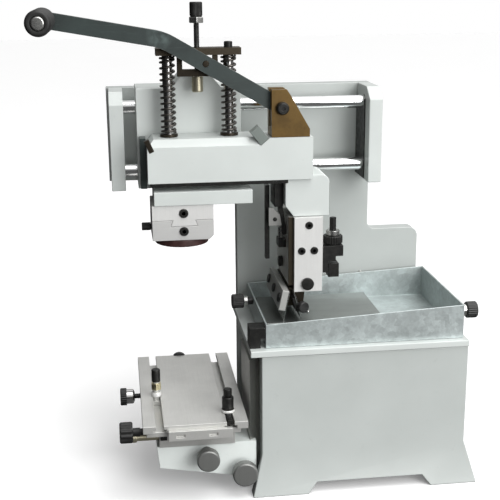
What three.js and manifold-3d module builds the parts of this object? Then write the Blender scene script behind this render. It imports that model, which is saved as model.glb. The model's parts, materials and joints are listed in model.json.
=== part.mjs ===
// Hand-lever pad printing press: a tabletop machine with a sliding printing head, a sprung ram worked by a
// lever, an ink tray with its etched plate and doctor blade, and an adjustable work table on a knee.
// Millimetres, +X to the right, +Y to the back, +Z up. Coordinates below start at the front left corner of
// the casing on the bench; the whole group is moved at the end so that its box stands centred on the origin.
import * as THREE from 'three';
import { mergeVertices } from 'three/addons/utils/BufferGeometryUtils.js';
import Module from 'manifold-3d';

const wasm = await Module();
wasm.setup();

// ---- driving dimensions -----------------------------------------------------------------------------------
const GAP = 0.3;
const ROUND = 20;
const ARC_STEPS = 12;
const SCREW_HOLE_R = 3.5;

const BASE_W = 250;
const BASE_D = 185;
const BASE_H = 173;
const BASE_WALL = 6;
const WAIST = 49;
const FLARE_X = 13;
const FLARE_Y = 15;
const ARCH_LEFT = 54;
const ARCH_RIGHT = 206;
const ARCH_H = 13;
const ARCH_SLOPE = 11;
const PLATE_TOP = 181;
const PLATE_LEFT = -13;
const PLATE_FRONT = -2;

const COLUMN_T = 20;
const COLUMN_LEFT = -6;
const COLUMN_RIGHT = 238;
const COLUMN_FOOT = 12;
const COLUMN_STEP = 275;
const STEP_ROUND = 12;
const NOOK_ROUND = 10;
const RAIL_FRAME_LEFT = -168;
const RAIL_FRAME_RIGHT = 169;
const RAIL_FRAME_LOW = 351;
const RAIL_FRAME_TOP = 469;

const RAIL_Y = 150;
const UPPER_RAIL_Z = 449;
const LOWER_RAIL_Z = 371;
const RAIL_R = 8;
const RAIL_BUSH_R = 12;
const BRACKET_FRONT = 120;
const BRACKET_W = 17;
const BRACKET_BEVEL_Y = 18;
const BRACKET_BEVEL_Z = 14;
const RAIL_SEAT = 12;
const LEFT_BRACKET = RAIL_FRAME_LEFT + 3;
const LEFT_BRACKET_IN = LEFT_BRACKET + BRACKET_W;
const RIGHT_BRACKET_IN = RAIL_FRAME_RIGHT - BRACKET_W;

const BLOCK = { left: -133, right: -8, front: 112, back: 172, low: 355, top: 475 };
const HUMP = { left: -91, right: -31, inset: 13, top: 490 };

const ARM = { left: -123, right: 70, front: 57, low: 371, top: 421 };
const ARM_BEVEL_Y = 10;
const ARM_BEVEL_Z = 8;
const ARM_BEVEL_END = 8;
const STOP_LUG = { x: 7, z: 424, halfLength: 9.75, halfWidth: 6.25, proud: 0.5, deep: 12, turn: 50 };

const ROD_Y = 88;
const ROD_XS = { left: -96, right: -25 };
const ROD_R = 6;
const ROD_BUSH_R = 9;
const BUSH_FLANGE_R = 10.6;
const BUSH_FLANGE_T = 3;
const CROSSBAR = { left: -109, right: -11, front: 77, back: 100, low: 515, top: 523 };
const YOKE = { left: -85, right: -38, front: 78, back: 86.5, low: 491, side: 6, sill: 8 };
const PAD_PLATE = { left: -117, right: -2, front: 55, back: 111, low: 345, top: 361 };

const SPRING_TURNS = 17;
const STEPS_A_TURN = 8;
const WIRE_SIDES = 5;
const SPRING_WIRE_R = 1.4;
const SPRING_R = 7.9;

const PIVOT = { x: 33.5, z: 455 };
const LEVER_BRACKET = { left: 21, right: 66, edge: 9, cheek: 13, slot: 11, play: 0.4 };
const LEVER_FRONT = 66;
const LEVER_T = 10;
const LEVER_DEPTH = 18.5;
const LEVER_BEND = { x: -101, z: 533.5, round: 60 };
const LEVER_END = { x: -232, z: 557 };
const LINK = { x: -53, z: 506 };
const LINK_PIN_R = 3.5;
const ROLLER_R = 5.8;
const PIVOT_R = 5;
const GRIP_CORE_R = 7.2;
const GRIP_SPIGOT_R = 5;
const GRIP_R = 13.8;
const GRIP_FRONT = -20;
const GRIP_BACK = 62;

const ADJUST_X = -61;
const ADJUST_Y = 92;

const HOLDER = { left: 48, right: 82, front: 56, low: 233 };
const HOLDER_BLOCK = { left: 42, right: 84, low: 254, cheek: 6, cheekLow: 240 };
const NECK = { left: 38, right: 91, low: 325, front: 62, back: 116, shoulder: 375, round: 10, waist: 338 };
const HOLDER_TOP = NECK.low - GAP;
const HOLDER_BACK = 148;
const LIFT = { x: 98, y: 73, left: 84.3, right: 109, foot: 100, shelf: 274, top: 287, front: 62, back: 84 };
const ROCKER_PIN = { x: 64, z: 243 };
const ROCKER_PIN_R = 5;

const TRAY = { left: 6, right: 245, front: 7, back: 177, leftTop: 210, rightTop: 222.5, wall: 2 };
const TRAY_CLAMP = { front: 8, back: 30, step: 193, top: 206, foot: 6 };
const PLATE_BLOCK = { left: 14, right: 158, front: 42, back: 143, low: 183.6, top: 194 };
const CLICHE_TOP = 200;
const CLICHE_SHIFT = 2;
const LEFT_TRAY_SCREW = { y: 120, z: 204 };
const RIGHT_TRAY_SCREW = { y: 20, z: 212 };

const SLIDEWAY = { out: 13, low: 8, top: 165, front: 12, back: 92, undercut: 9, play: 0.4 };
const KNOB_STEM_R = 4;
const KNEE = { left: -125, right: -6, front: 8, back: 100, top: 64 };
const KNEE_LOCK = { x: -22, z: 31, radius: 15, front: -16, tip: 30 };
const CROSS_FEED = { x: -66, z: 55, radius: 13.5, front: -22, tip: 40 };
const CROSS_SLIDE = { left: -122, right: -32, front: 4, back: 150, low: 64.4, top: 86.6 };
const TABLE = { left: -141, right: -19, front: -20, back: 205, top: 103, plate: 9, low: 87 };
const SLOT_XS = { left: -121.5, right: -39.5 };
const SLOT_W = 9;
const SLOT_WIDE = 15;
const SLOT_LIP = 4.5;
const SLOT_DEPTH = 10;
const STUD_NUT = 6.8;
const STUD_R = 4;
const TABLE_BED = { inset: 4, insetRight: 8, insetFront: 6, top: 95 };
const SLOTTED_BAR = { left: -112, right: -38, low: 86, top: 98, depth: 6, slotXs: [-98, -60] };
const TABLE_FEED = { y: 8, z: 85 };
const TABLE_LOCK = { y: 110, z: 87 };

const PAD_SHOE = { left: -120, right: -48, front: 57, back: 119, low: 303, split: 327, bevel: 5 };
const TONGUE = { left: -98, right: -67, low: 320, flare: 3, play: 0.4 };
const SHOE_SCREW_Z = 314;
const PAD_DISC = { x: -84, radius: 32, low: 294.5, segments: 36 };

const BLADE_FOOT = { x: 33, z: 200.6 };
const BLADE_LEAN = 12;
const BLADE_Y = { front: 47, back: 147.5 };
const BLADE_T = 0.8;
const BLADE_DEPTH = 36.5;
const CLAMP_RUN = { from: 12, to: 37 };
const CLAMP_T = 8;
const SPATULA = { x: 54, z: 202.5, lean: 14, depth: 34 };

// ---- materials --------------------------------------------------------------------------------------------
const finish = (color, roughness, metalness) => () =>
  new THREE.MeshStandardMaterial({ color, roughness, metalness });

const greyPaint = finish(0xc6cdc9, 0.45, 0.1);
const castPaint = finish(0xd3d8d5, 0.4, 0.1);
const leverPaint = finish(0x3c4442, 0.5, 0.3);
const ochreSteel = finish(0x7d582d, 0.45, 0.6);
const brownSteel = finish(0x6b5a48, 0.45, 0.6);
const chrome = finish(0xe8eaea, 0.12, 1.0);
const brightSteel = finish(0xc9cbca, 0.3, 0.9);
const groundSteel = finish(0xb4b5b2, 0.35, 0.8);
const milledAlloy = finish(0xdcdcd6, 0.35, 0.7);
const darkSteel = finish(0x4a463f, 0.5, 0.6);
const blackOxide = finish(0x1c1c1c, 0.5, 0.4);
const blackPlastic = finish(0x121212, 0.45, 0.0);
const rubber = finish(0x151515, 0.8, 0.0);
const bronze = finish(0x9a7b4a, 0.4, 0.8);
const galvanised = finish(0xa9b6b4, 0.45, 0.7);

// ---- making solids ----------------------------------------------------------------------------------------
function toSolid(geometry) {
  geometry.deleteAttribute('normal');
  geometry.deleteAttribute('uv');
  const merged = mergeVertices(geometry, 1e-4);
  const at = merged.attributes.position;
  const index = merged.index.array;
  const triVerts = [];
  let volume = 0;
  const [a, b, c] = [new THREE.Vector3(), new THREE.Vector3(), new THREE.Vector3()];
  for (let i = 0; i < index.length; i += 3) {
    const [p, q, r] = [index[i], index[i + 1], index[i + 2]];
    if (p === q || q === r || r === p) continue;
    triVerts.push(p, q, r);
    b.fromBufferAttribute(at, q).cross(c.fromBufferAttribute(at, r));
    volume += a.fromBufferAttribute(at, p).dot(b);
  }
  if (volume < 0) triVerts.reverse();
  return new wasm.Manifold(new wasm.Mesh({
    numProp: 3,
    vertProperties: new Float32Array(at.array),
    triVerts: new Uint32Array(triVerts),
  }));
}

function toGeometry(solid) {
  const mesh = solid.getMesh();
  const geometry = new THREE.BufferGeometry();
  geometry.setAttribute('position', new THREE.BufferAttribute(new Float32Array(mesh.vertProperties), 3));
  geometry.setIndex(new THREE.BufferAttribute(new Uint32Array(mesh.triVerts), 1));
  geometry.computeVertexNormals();
  return geometry;
}

function block(x0, x1, y0, y1, z0, z1) {
  const geometry = new THREE.BoxGeometry(x1 - x0, y1 - y0, z1 - z0);
  geometry.translate((x0 + x1) / 2, (y0 + y1) / 2, (z0 + z1) / 2);
  return toSolid(geometry);
}

function outline(points) {
  return new THREE.Shape(points.map(([u, v]) => new THREE.Vector2(u, v)));
}

function extruded(shape, depth) {
  return new THREE.ExtrudeGeometry(shape, { depth, bevelEnabled: false, curveSegments: ARC_STEPS });
}

// An outline seen from the front, in X and Z, carried along Y.
function frontPrism(shape, y0, y1) {
  const geometry = extruded(shape, y1 - y0);
  geometry.rotateX(Math.PI / 2);
  geometry.translate(0, y1, 0);
  return toSolid(geometry);
}

// An outline seen from the side, in Y and Z, carried along X.
function sidePrism(shape, x0, x1) {
  const geometry = extruded(shape, x1 - x0);
  geometry.rotateY(Math.PI / 2);
  geometry.rotateX(Math.PI / 2);
  geometry.translate(x0, 0, 0);
  return toSolid(geometry);
}

// An outline seen from above, in X and Y, carried along Z.
function topPrism(shape, z0, z1) {
  const geometry = extruded(shape, z1 - z0);
  geometry.translate(0, 0, z0);
  return toSolid(geometry);
}

// A turned piece. The profile lists [radius, distance along the axis], and closes on itself off the axis.
function turned(axis, centre, profile, segments = ROUND) {
  const points = profile.map(([r, t]) => new THREE.Vector2(r, t));
  if (profile[0][0] > 0) points.push(points[0].clone());
  const geometry = new THREE.LatheGeometry(points, segments);
  if (axis === 'x') geometry.rotateZ(-Math.PI / 2);
  if (axis === 'z') geometry.rotateX(Math.PI / 2);
  geometry.translate(...centre);
  return toSolid(geometry);
}

function shaft(axis, centre, radius, from, to, segments = ROUND) {
  return turned(axis, centre, [[0, from], [radius, from], [radius, to], [0, to]], segments);
}

function tube(axis, centre, inner, outer, from, to) {
  return turned(axis, centre, [[inner, from], [outer, from], [outer, to], [inner, to]]);
}

const press = new THREE.Group();

function add(name, solid, material) {
  const mesh = new THREE.Mesh(toGeometry(solid), material());
  mesh.name = name;
  press.add(mesh);
}

// ---- base, column and rails -------------------------------------------------------------------------------
// The casing flares out at the foot in front and to the right, and at the front corner on the left, where the
// side stays upright for the knee. It is open below and has an arch between two feet.
function baseBody() {
  const casing = (wall, flareLeft, low) => {
    const front = outline([
      [-flareLeft + wall, low], [BASE_W + FLARE_X - wall, low], [BASE_W - wall, WAIST],
      [BASE_W - wall, BASE_H - wall], [wall, BASE_H - wall], [wall, WAIST],
    ]);
    const side = outline([
      [-FLARE_Y + wall, low], [BASE_D - wall, low], [BASE_D - wall, BASE_H - wall],
      [wall, BASE_H - wall], [wall, WAIST],
    ]);
    return frontPrism(front, -FLARE_Y, BASE_D).intersect(sidePrism(side, -FLARE_X, BASE_W + FLARE_X));
  };
  const mouth = casing(BASE_WALL, 0, -1);
  const kneeRecess = block(-FLARE_X - 1, 0, 4, BASE_D + 1, -1, WAIST + 1);
  const arch = outline([
    [ARCH_LEFT, -1], [ARCH_RIGHT, -1], [ARCH_RIGHT - ARCH_SLOPE, ARCH_H], [ARCH_LEFT + ARCH_SLOPE, ARCH_H],
  ]);
  return casing(0, FLARE_X, 0).subtract(mouth).subtract(kneeRecess).subtract(
    frontPrism(arch, -FLARE_Y - 1, BASE_D + 1));
}

function topPlate() {
  return block(PLATE_LEFT, BASE_W, PLATE_FRONT, BASE_D, BASE_H + GAP, PLATE_TOP);
}

// One plate: a column beside the tray with a round-cornered step, widening above into the frame of the rails.
function columnPlate() {
  const shape = new THREE.Shape();
  shape.moveTo(COLUMN_LEFT, COLUMN_FOOT);
  shape.lineTo(COLUMN_RIGHT, COLUMN_FOOT);
  const nook = RAIL_FRAME_RIGHT + NOOK_ROUND;
  shape.absarc(COLUMN_RIGHT - STEP_ROUND, COLUMN_STEP - STEP_ROUND, STEP_ROUND, 0, Math.PI / 2);
  shape.absarc(nook, COLUMN_STEP + NOOK_ROUND, NOOK_ROUND, 1.5 * Math.PI, Math.PI, true);
  shape.lineTo(RAIL_FRAME_RIGHT, RAIL_FRAME_TOP);
  shape.lineTo(RAIL_FRAME_LEFT, RAIL_FRAME_TOP);
  shape.lineTo(RAIL_FRAME_LEFT, RAIL_FRAME_LOW);
  shape.lineTo(COLUMN_LEFT, RAIL_FRAME_LOW);
  return frontPrism(shape, BASE_D + GAP, BASE_D + COLUMN_T);
}

function railBracket(x0, x1, seatX0, seatX1) {
  const back = BASE_D;
  const side = outline([
    [BRACKET_FRONT, RAIL_FRAME_LOW], [back, RAIL_FRAME_LOW], [back, RAIL_FRAME_TOP],
    [BRACKET_FRONT + BRACKET_BEVEL_Y, RAIL_FRAME_TOP], [BRACKET_FRONT, RAIL_FRAME_TOP - BRACKET_BEVEL_Z],
  ]);
  let bracket = sidePrism(side, x0, x1);
  for (const z of [UPPER_RAIL_Z, LOWER_RAIL_Z]) {
    bracket = bracket.subtract(shaft('x', [0, RAIL_Y, z], RAIL_R + GAP, seatX0, seatX1));
  }
  return bracket;
}

function leftRailBracket() {
  return railBracket(LEFT_BRACKET, LEFT_BRACKET_IN, LEFT_BRACKET_IN - RAIL_SEAT, LEFT_BRACKET_IN + 1);
}

function rightRailBracket() {
  return railBracket(RIGHT_BRACKET_IN, RAIL_FRAME_RIGHT, RIGHT_BRACKET_IN - 1, RIGHT_BRACKET_IN + RAIL_SEAT);
}

function rail(z) {
  const from = LEFT_BRACKET_IN - RAIL_SEAT + GAP;
  const to = RIGHT_BRACKET_IN + RAIL_SEAT - GAP;
  return shaft('x', [0, RAIL_Y, z], RAIL_R, from, to);
}

// A vertical dovetail on the left side of the casing, wider at its outer face.
function kneeSlideway() {
  const { out, low, top, front, back, undercut } = SLIDEWAY;
  const section = outline([
    [-out, front], [-GAP, front + undercut], [-GAP, back - undercut], [-out, back],
  ]);
  return topPrism(section, low, top);
}

// ---- ink tray and etched plate ----------------------------------------------------------------------------
function tray() {
  const low = PLATE_TOP + GAP;
  const rise = (TRAY.rightTop - TRAY.leftTop) / (TRAY.right - TRAY.left);
  const shell = (inset) => {
    const left = TRAY.left + inset;
    const right = TRAY.right - inset;
    const over = inset > 0 ? 2 * TRAY.wall : 0;
    return frontPrism(outline([
      [left, low + inset], [right, low + inset],
      [right, TRAY.rightTop - rise * inset + over], [left, TRAY.leftTop + rise * inset + over],
    ]), TRAY.front + inset, TRAY.back - inset);
  };
  const hole = (x, { y, z }) => shaft('x', [x, y, z], SCREW_HOLE_R, -2 * TRAY.wall, 2 * TRAY.wall);
  return shell(0).subtract(shell(TRAY.wall)).subtract(hole(TRAY.left, LEFT_TRAY_SCREW)).subtract(
    hole(TRAY.right, RIGHT_TRAY_SCREW));
}

function clicheBlock() {
  const { left, right, front, back, low, top } = PLATE_BLOCK;
  return block(left, right, front, back, low, top);
}

function clichePlate() {
  const { left, right, front, back, top } = PLATE_BLOCK;
  return block(left - CLICHE_SHIFT, right - CLICHE_SHIFT, front - CLICHE_SHIFT, back + CLICHE_SHIFT,
    top + GAP, CLICHE_TOP);
}

function trayClampBlock() {
  const { front, back, step, top, foot } = TRAY_CLAMP;
  const upper = block(PLATE_LEFT, TRAY.left - GAP, front, back, step, top);
  return upper.add(block(PLATE_LEFT, TRAY.left - foot, front, back, PLATE_TOP + GAP, step + 1));
}

function leftTrayScrew() {
  const { y, z } = LEFT_TRAY_SCREW;
  return turned('x', [0, y, z], [
    [0, -21], [8, -21], [9, -20], [9, -7], [8, -6], [5, -6], [5, 5.5], [3.2, 5.5], [3.2, 10.5], [0, 10.5],
  ]);
}

function rightTrayScrew() {
  const { y, z } = RIGHT_TRAY_SCREW;
  return turned('x', [TRAY.right, y, z], [
    [0, -6], [3.2, -6], [3.2, 0.5], [5, 0.5], [5, 6], [9, 6], [10, 7], [10, 18], [9, 19], [0, 19],
  ]);
}

// ---- carriage: slide block, arm, neck, lever bracket ------------------------------------------------------
function slideBlock() {
  let solid = block(BLOCK.left, BLOCK.right, BLOCK.front, BLOCK.back, BLOCK.low, BLOCK.top);
  solid = solid.add(frontPrism(outline([
    [HUMP.left, BLOCK.top - 1], [HUMP.right, BLOCK.top - 1], [HUMP.right, BLOCK.top],
    [HUMP.right - HUMP.inset, HUMP.top], [HUMP.left + HUMP.inset, HUMP.top], [HUMP.left, BLOCK.top],
  ]), BLOCK.front, BLOCK.back));
  for (const z of [UPPER_RAIL_Z, LOWER_RAIL_Z]) {
    const bore = shaft('x', [0, RAIL_Y, z], RAIL_BUSH_R + GAP, BLOCK.left - 1, BLOCK.right + 1);
    solid = solid.subtract(bore);
  }
  return solid;
}

function railBush(z) {
  return tube('x', [0, RAIL_Y, z], RAIL_R + GAP, RAIL_BUSH_R, BLOCK.left + 1, BLOCK.right - 1);
}

// The arm's front and left top edges are bevelled; its right end, under the lever bracket, is full height.
function headArm() {
  const back = BLOCK.front - GAP;
  const side = outline([
    [ARM.front, ARM.low], [back, ARM.low], [back, ARM.top],
    [ARM.front + ARM_BEVEL_Y, ARM.top], [ARM.front, ARM.top - ARM_BEVEL_Z],
  ]);
  let solid = sidePrism(side, ARM.left, ARM_BEVEL_END + 1);
  solid = solid.subtract(frontPrism(outline([
    [ARM.left - 1, ARM.top - ARM_BEVEL_Z], [ARM.left, ARM.top - ARM_BEVEL_Z],
    [ARM.left + ARM_BEVEL_Z, ARM.top], [ARM.left + ARM_BEVEL_Z, ARM.top + 1], [ARM.left - 1, ARM.top + 1],
  ]), ARM.front - 1, back + 1));
  solid = solid.add(block(ARM_BEVEL_END, ARM.right, ARM.front, back, ARM.low, ARM.top));
  for (const x of Object.values(ROD_XS)) {
    solid = solid.subtract(shaft('z', [x, ROD_Y, 0], ROD_BUSH_R + GAP, ARM.low - 1, ARM.top + 1));
  }
  return solid.subtract(stopLugShape(GAP));
}

// A small lug set cornerwise into the arm's top edge, beside the lever bracket.
function stopLugShape(extra) {
  const { x, z, halfLength, halfWidth, proud, deep, turn } = STOP_LUG;
  const [length, width] = [halfLength + extra, halfWidth + extra];
  const lug = block(-length, length, ARM.front - proud - extra, ARM.front + deep + extra, -width, width);
  return lug.rotate(0, turn, 0).translate(x, 0, z);
}

function bladeNeck() {
  const { left, right, low, front, back, shoulder, round, waist } = NECK;
  const shape = new THREE.Shape();
  shape.moveTo(left + round, low);
  shape.lineTo(right, low);
  shape.absarc(right - round, shoulder - round, round, 0, Math.PI / 2);
  shape.lineTo(ARM.right + GAP, shoulder);
  shape.lineTo(ARM.right + GAP, ARM.low - GAP);
  shape.lineTo(left, ARM.low - GAP);
  shape.lineTo(left, waist);
  return frontPrism(shape, front, back);
}

// A clevis: two cheeks on one foot, with the sloping right side and the lever's pin hole through both.
function leverBracket() {
  const low = ARM.top + GAP;
  const { left, right, edge, cheek, slot, play } = LEVER_BRACKET;
  const back = LEVER_FRONT + LEVER_T + cheek;
  const shape = outline([[left, low], [right, low], [right, low + edge], [43, 470], [39, 476], [left, 476]]);
  const gap = block(left - 1, right + 1, LEVER_FRONT - play, LEVER_FRONT + LEVER_T + play, low + slot, 480);
  const hole = shaft('y', [PIVOT.x, 0, PIVOT.z], PIVOT_R + GAP, ARM.front - 1, back + 1);
  return frontPrism(shape, ARM.front, back).subtract(gap).subtract(hole);
}

function pivotBolt() {
  return turned('y', [PIVOT.x, 0, PIVOT.z], [
    [0, 52.5], [7, 52.5], [7.5, 53], [7.5, ARM.front - GAP],
    [PIVOT_R, ARM.front - GAP], [PIVOT_R, 93], [0, 93],
  ]);
}

function rodBush(x) {
  const flange = ARM.top + GAP;
  return turned('z', [x, ROD_Y, 0], [
    [ROD_R + GAP, ARM.low], [ROD_BUSH_R, ARM.low], [ROD_BUSH_R, flange], [BUSH_FLANGE_R, flange],
    [BUSH_FLANGE_R, flange + BUSH_FLANGE_T], [ROD_R + GAP, flange + BUSH_FLANGE_T],
  ]);
}

class Helix extends THREE.Curve {
  constructor(radius, turns, from, to) {
    super();
    Object.assign(this, { radius, turns, from, to });
  }
  getPoint(t, target = new THREE.Vector3()) {
    const angle = 2 * Math.PI * this.turns * t;
    const z = THREE.MathUtils.lerp(this.from, this.to, t);
    return target.set(this.radius * Math.cos(angle), this.radius * Math.sin(angle), z);
  }
}

function spring(x) {
  const from = ARM.top + GAP + BUSH_FLANGE_T + GAP + SPRING_WIRE_R;
  const to = CROSSBAR.low - GAP - SPRING_WIRE_R;
  const corner = (k) => {
    const angle = (2 * Math.PI * k) / WIRE_SIDES;
    return [SPRING_WIRE_R * Math.cos(angle), SPRING_WIRE_R * Math.sin(angle)];
  };
  const wire = outline([...Array(WIRE_SIDES).keys()].map(corner));
  const geometry = new THREE.ExtrudeGeometry(wire, {
    extrudePath: new Helix(SPRING_R, SPRING_TURNS, from, to),
    steps: SPRING_TURNS * STEPS_A_TURN,
  });
  geometry.translate(x, ROD_Y, 0);
  return toSolid(geometry);
}

// ---- blade holder ----------------------------------------------------------------------------------------
function holderFrontPlate() {
  const { left, right, front, low } = HOLDER;
  const hole = shaft('y', [ROCKER_PIN.x, 0, ROCKER_PIN.z], ROCKER_PIN_R + GAP, front - 1, NECK.front + 1);
  return block(left, right, front, NECK.front, low, HOLDER_TOP).subtract(hole);
}

// The block behind the front plate, with a cheek down its left side that hides the rocker's top.
function holderBlock() {
  const { left, right, low, cheek, cheekLow } = HOLDER_BLOCK;
  const shape = outline([
    [left, cheekLow], [left + cheek, cheekLow], [left + cheek, low], [right, low],
    [right, HOLDER_TOP], [left, HOLDER_TOP],
  ]);
  return frontPrism(shape, NECK.front + GAP, HOLDER_BACK);
}

function liftBracket() {
  const { left, right, foot, shelf, top, front, back } = LIFT;
  const { low } = HOLDER_BLOCK;
  const upright = block(left, foot, front, back, low, shelf + 1);
  const bracket = block(left, right, front, back, shelf, top).add(upright);
  const notch = block(left + 6, foot + 1, front - 1, back + 1, low - 1, shelf - 6);
  return bracket.subtract(notch).subtract(shaft('z', [LIFT.x, LIFT.y, 0], 3.8, shelf - 7, top + 1));
}

function liftScrew() {
  return turned('z', [LIFT.x, LIFT.y, 0], [
    [0, 276], [3.4, 276], [3.4, 288], [11, 288], [12, 289], [12, 297], [11, 298], [4, 298], [4, 299],
    [7.5, 299], [7.5, 304], [4, 304], [4, 320], [0, 320],
  ]);
}

function rockerBlock() {
  const shape = outline([
    [37.3, 214], [60, 214], [62, 234], [80, 234], [80, 251.5], [51, 251.5], [51, 236.5], [41.9, 236.5],
  ]);
  const front = NECK.front + GAP;
  const hole = shaft('y', [ROCKER_PIN.x, 0, ROCKER_PIN.z], ROCKER_PIN_R + GAP, front - 1, HOLDER_BACK + 1);
  return frontPrism(shape, front, HOLDER_BACK).subtract(hole);
}

function rockerPin() {
  return turned('y', [ROCKER_PIN.x, 0, ROCKER_PIN.z], [
    [0, HOLDER.front - 4], [7.5, HOLDER.front - 4], [7.5, HOLDER.front - GAP],
    [ROCKER_PIN_R, HOLDER.front - GAP], [ROCKER_PIN_R, HOLDER_BACK - 2], [0, HOLDER_BACK - 2],
  ]);
}

// The doctor blade leans with its edge to the left; its clamp lies along it on the left.
function leaningPlate(offset, thickness, from, to) {
  const plate = block(offset, offset + thickness, BLADE_Y.front, BLADE_Y.back, from, to);
  return plate.rotate(0, BLADE_LEAN, 0).translate(BLADE_FOOT.x, 0, BLADE_FOOT.z);
}

function doctorBlade() {
  return leaningPlate(0, BLADE_T, 0, BLADE_DEPTH);
}

function bladeClamp() {
  return leaningPlate(-CLAMP_T - GAP, CLAMP_T, CLAMP_RUN.from, CLAMP_RUN.to);
}

function inkSpatula() {
  const { x, z, lean, depth } = SPATULA;
  const strip = block(0, BLADE_T, BLADE_Y.front, BLADE_Y.back, 0, depth).rotate(0, -lean, 0);
  return strip.translate(x, 0, z).subtract(block(44.7, 70, NECK.front, HOLDER_BACK + 1, 213.7, 260));
}

// ---- lever -----------------------------------------------------------------------------------------------
function leverBar() {
  const half = LEVER_DEPTH / 2;
  const slope = (a, b) => Math.atan2(b.z - a.z, b.x - a.x);
  const [outer, inner] = [slope(LEVER_END, LEVER_BEND), slope(LEVER_BEND, PIVOT)];
  const { round } = LEVER_BEND;
  const back = round * Math.tan((outer - inner) / 2);
  const x = LEVER_BEND.x - back * Math.cos(outer) + round * Math.sin(outer);
  const z = LEVER_BEND.z - back * Math.sin(outer) - round * Math.cos(outer);
  const quarter = Math.PI / 2;
  const shape = new THREE.Shape();
  shape.absarc(LEVER_END.x, LEVER_END.z, half, outer - quarter, outer - 3 * quarter, true);
  shape.absarc(x, z, round + half, outer + quarter, inner + quarter, true);
  shape.absarc(PIVOT.x, PIVOT.z, half, inner + quarter, inner - quarter, true);
  shape.absarc(x, z, round - half, inner + quarter, outer + quarter, false);
  const leverBack = LEVER_FRONT + LEVER_T;
  const hole = (at, radius) => shaft('y', [at.x, 0, at.z], radius, LEVER_FRONT - 1, leverBack + 1);
  return frontPrism(shape, LEVER_FRONT, leverBack).subtract(hole(LEVER_END, GRIP_SPIGOT_R + GAP)).subtract(
    hole(LINK, LINK_PIN_R + GAP)).subtract(hole(PIVOT, PIVOT_R + GAP));
}

function linkRoller() {
  return turned('y', [LINK.x, 0, LINK.z], [
    [0, LEVER_FRONT - 1], [LINK_PIN_R, LEVER_FRONT - 1], [LINK_PIN_R, 77.5], [ROLLER_R, 77.5],
    [ROLLER_R, 86.5], [0, 86.5],
  ]);
}

function gripCore() {
  return turned('y', [LEVER_END.x, 0, LEVER_END.z], [
    [0, GRIP_FRONT - 2], [GRIP_CORE_R - 1, GRIP_FRONT - 2], [GRIP_CORE_R, GRIP_FRONT - 1],
    [GRIP_CORE_R, LEVER_FRONT - GAP], [GRIP_SPIGOT_R, LEVER_FRONT - GAP],
    [GRIP_SPIGOT_R, LEVER_FRONT + LEVER_T + 3], [0, LEVER_FRONT + LEVER_T + 3],
  ]);
}

function gripSleeve() {
  const r = GRIP_CORE_R + GAP;
  return turned('y', [LEVER_END.x, 0, LEVER_END.z], [
    [r, GRIP_FRONT], [GRIP_R - 2, GRIP_FRONT], [GRIP_R, GRIP_FRONT + 3],
    [GRIP_R, GRIP_BACK - 3], [GRIP_R - 2, GRIP_BACK], [r, GRIP_BACK],
  ]);
}

// ---- ram -------------------------------------------------------------------------------------------------
function guideRod(x) {
  return shaft('z', [x, ROD_Y, 0], ROD_R, PAD_PLATE.top + GAP, CROSSBAR.low - GAP);
}

function crossbar() {
  const { left, right, front, back, low, top } = CROSSBAR;
  return block(left, right, front, back, low, top).subtract(
    shaft('z', [ADJUST_X, ADJUST_Y, 0], SCREW_HOLE_R, low - 1, top + 1));
}

// The frame that hangs under the crossbar: the lever's roller runs in its window and pushes the ram down.
function yoke() {
  const { left, right, front, back, low, side, sill } = YOKE;
  const outer = block(left, right, front, back, low, CROSSBAR.low - GAP);
  return outer.subtract(block(left + side, right - side, front - 1, back + 1, low + sill, CROSSBAR.low + 1));
}

function padPlate() {
  const { left, right, front, back, low, top } = PAD_PLATE;
  return block(left, right, front, back, low, top);
}

// The fixed half of the pad holder, with a dovetail tongue along Y that carries the shoe.
function padBlock() {
  const { left, right, front, back, split } = PAD_SHOE;
  const tongue = outline([
    [TONGUE.left + TONGUE.flare, split + 1], [TONGUE.left, TONGUE.low],
    [TONGUE.right, TONGUE.low], [TONGUE.right - TONGUE.flare, split + 1],
  ]);
  return block(left, right, front, back, split, PAD_PLATE.low - GAP).add(frontPrism(tongue, front, back));
}

function padShoe() {
  const { left, right, front, back, low, split, bevel } = PAD_SHOE;
  const { play, flare } = TONGUE;
  const body = outline([
    [left, low], [right - bevel, low], [right, low + bevel], [right, split - GAP], [left, split - GAP],
  ]);
  const groove = outline([
    [TONGUE.left + flare - play, split + 1], [TONGUE.left - play, TONGUE.low - play],
    [TONGUE.right + play, TONGUE.low - play], [TONGUE.right - flare + play, split + 1],
  ]);
  const hole = shaft('x', [left, ROD_Y, SHOE_SCREW_Z], 3.3, -1, 14);
  return frontPrism(body, front, back).subtract(frontPrism(groove, front - 1, back + 1)).subtract(hole);
}

function shoeScrew() {
  return turned('x', [PAD_SHOE.left, ROD_Y, SHOE_SCREW_Z], [
    [0, -11.5], [4.3, -11.5], [4.8, -11], [4.8, -1], [3, -1], [3, 12], [0, 12],
  ]);
}

function padDisc() {
  const { x, radius, low, segments } = PAD_DISC;
  return shaft('z', [x, ROD_Y, 0], radius, low, PAD_SHOE.low - GAP, segments);
}

// Turning this screw sets how far the ram comes down: its nose lands on the arm.
function adjustScrew() {
  return turned('z', [ADJUST_X, ADJUST_Y, 0], [
    [0, 478], [3, 478], [3, 551], [7.8, 551], [7.8, 557], [6.6, 557.5], [6.6, 558], [7.4, 559], [7.4, 573],
    [6.6, 574], [0, 574],
  ]);
}

function stopSleeve() {
  return turned('z', [ADJUST_X, ADJUST_Y, 0], [
    [0, 472], [6, 472], [6.6, 473], [6.6, 490], [3.4, 490], [3.4, 477], [0, 477],
  ]);
}

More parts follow.
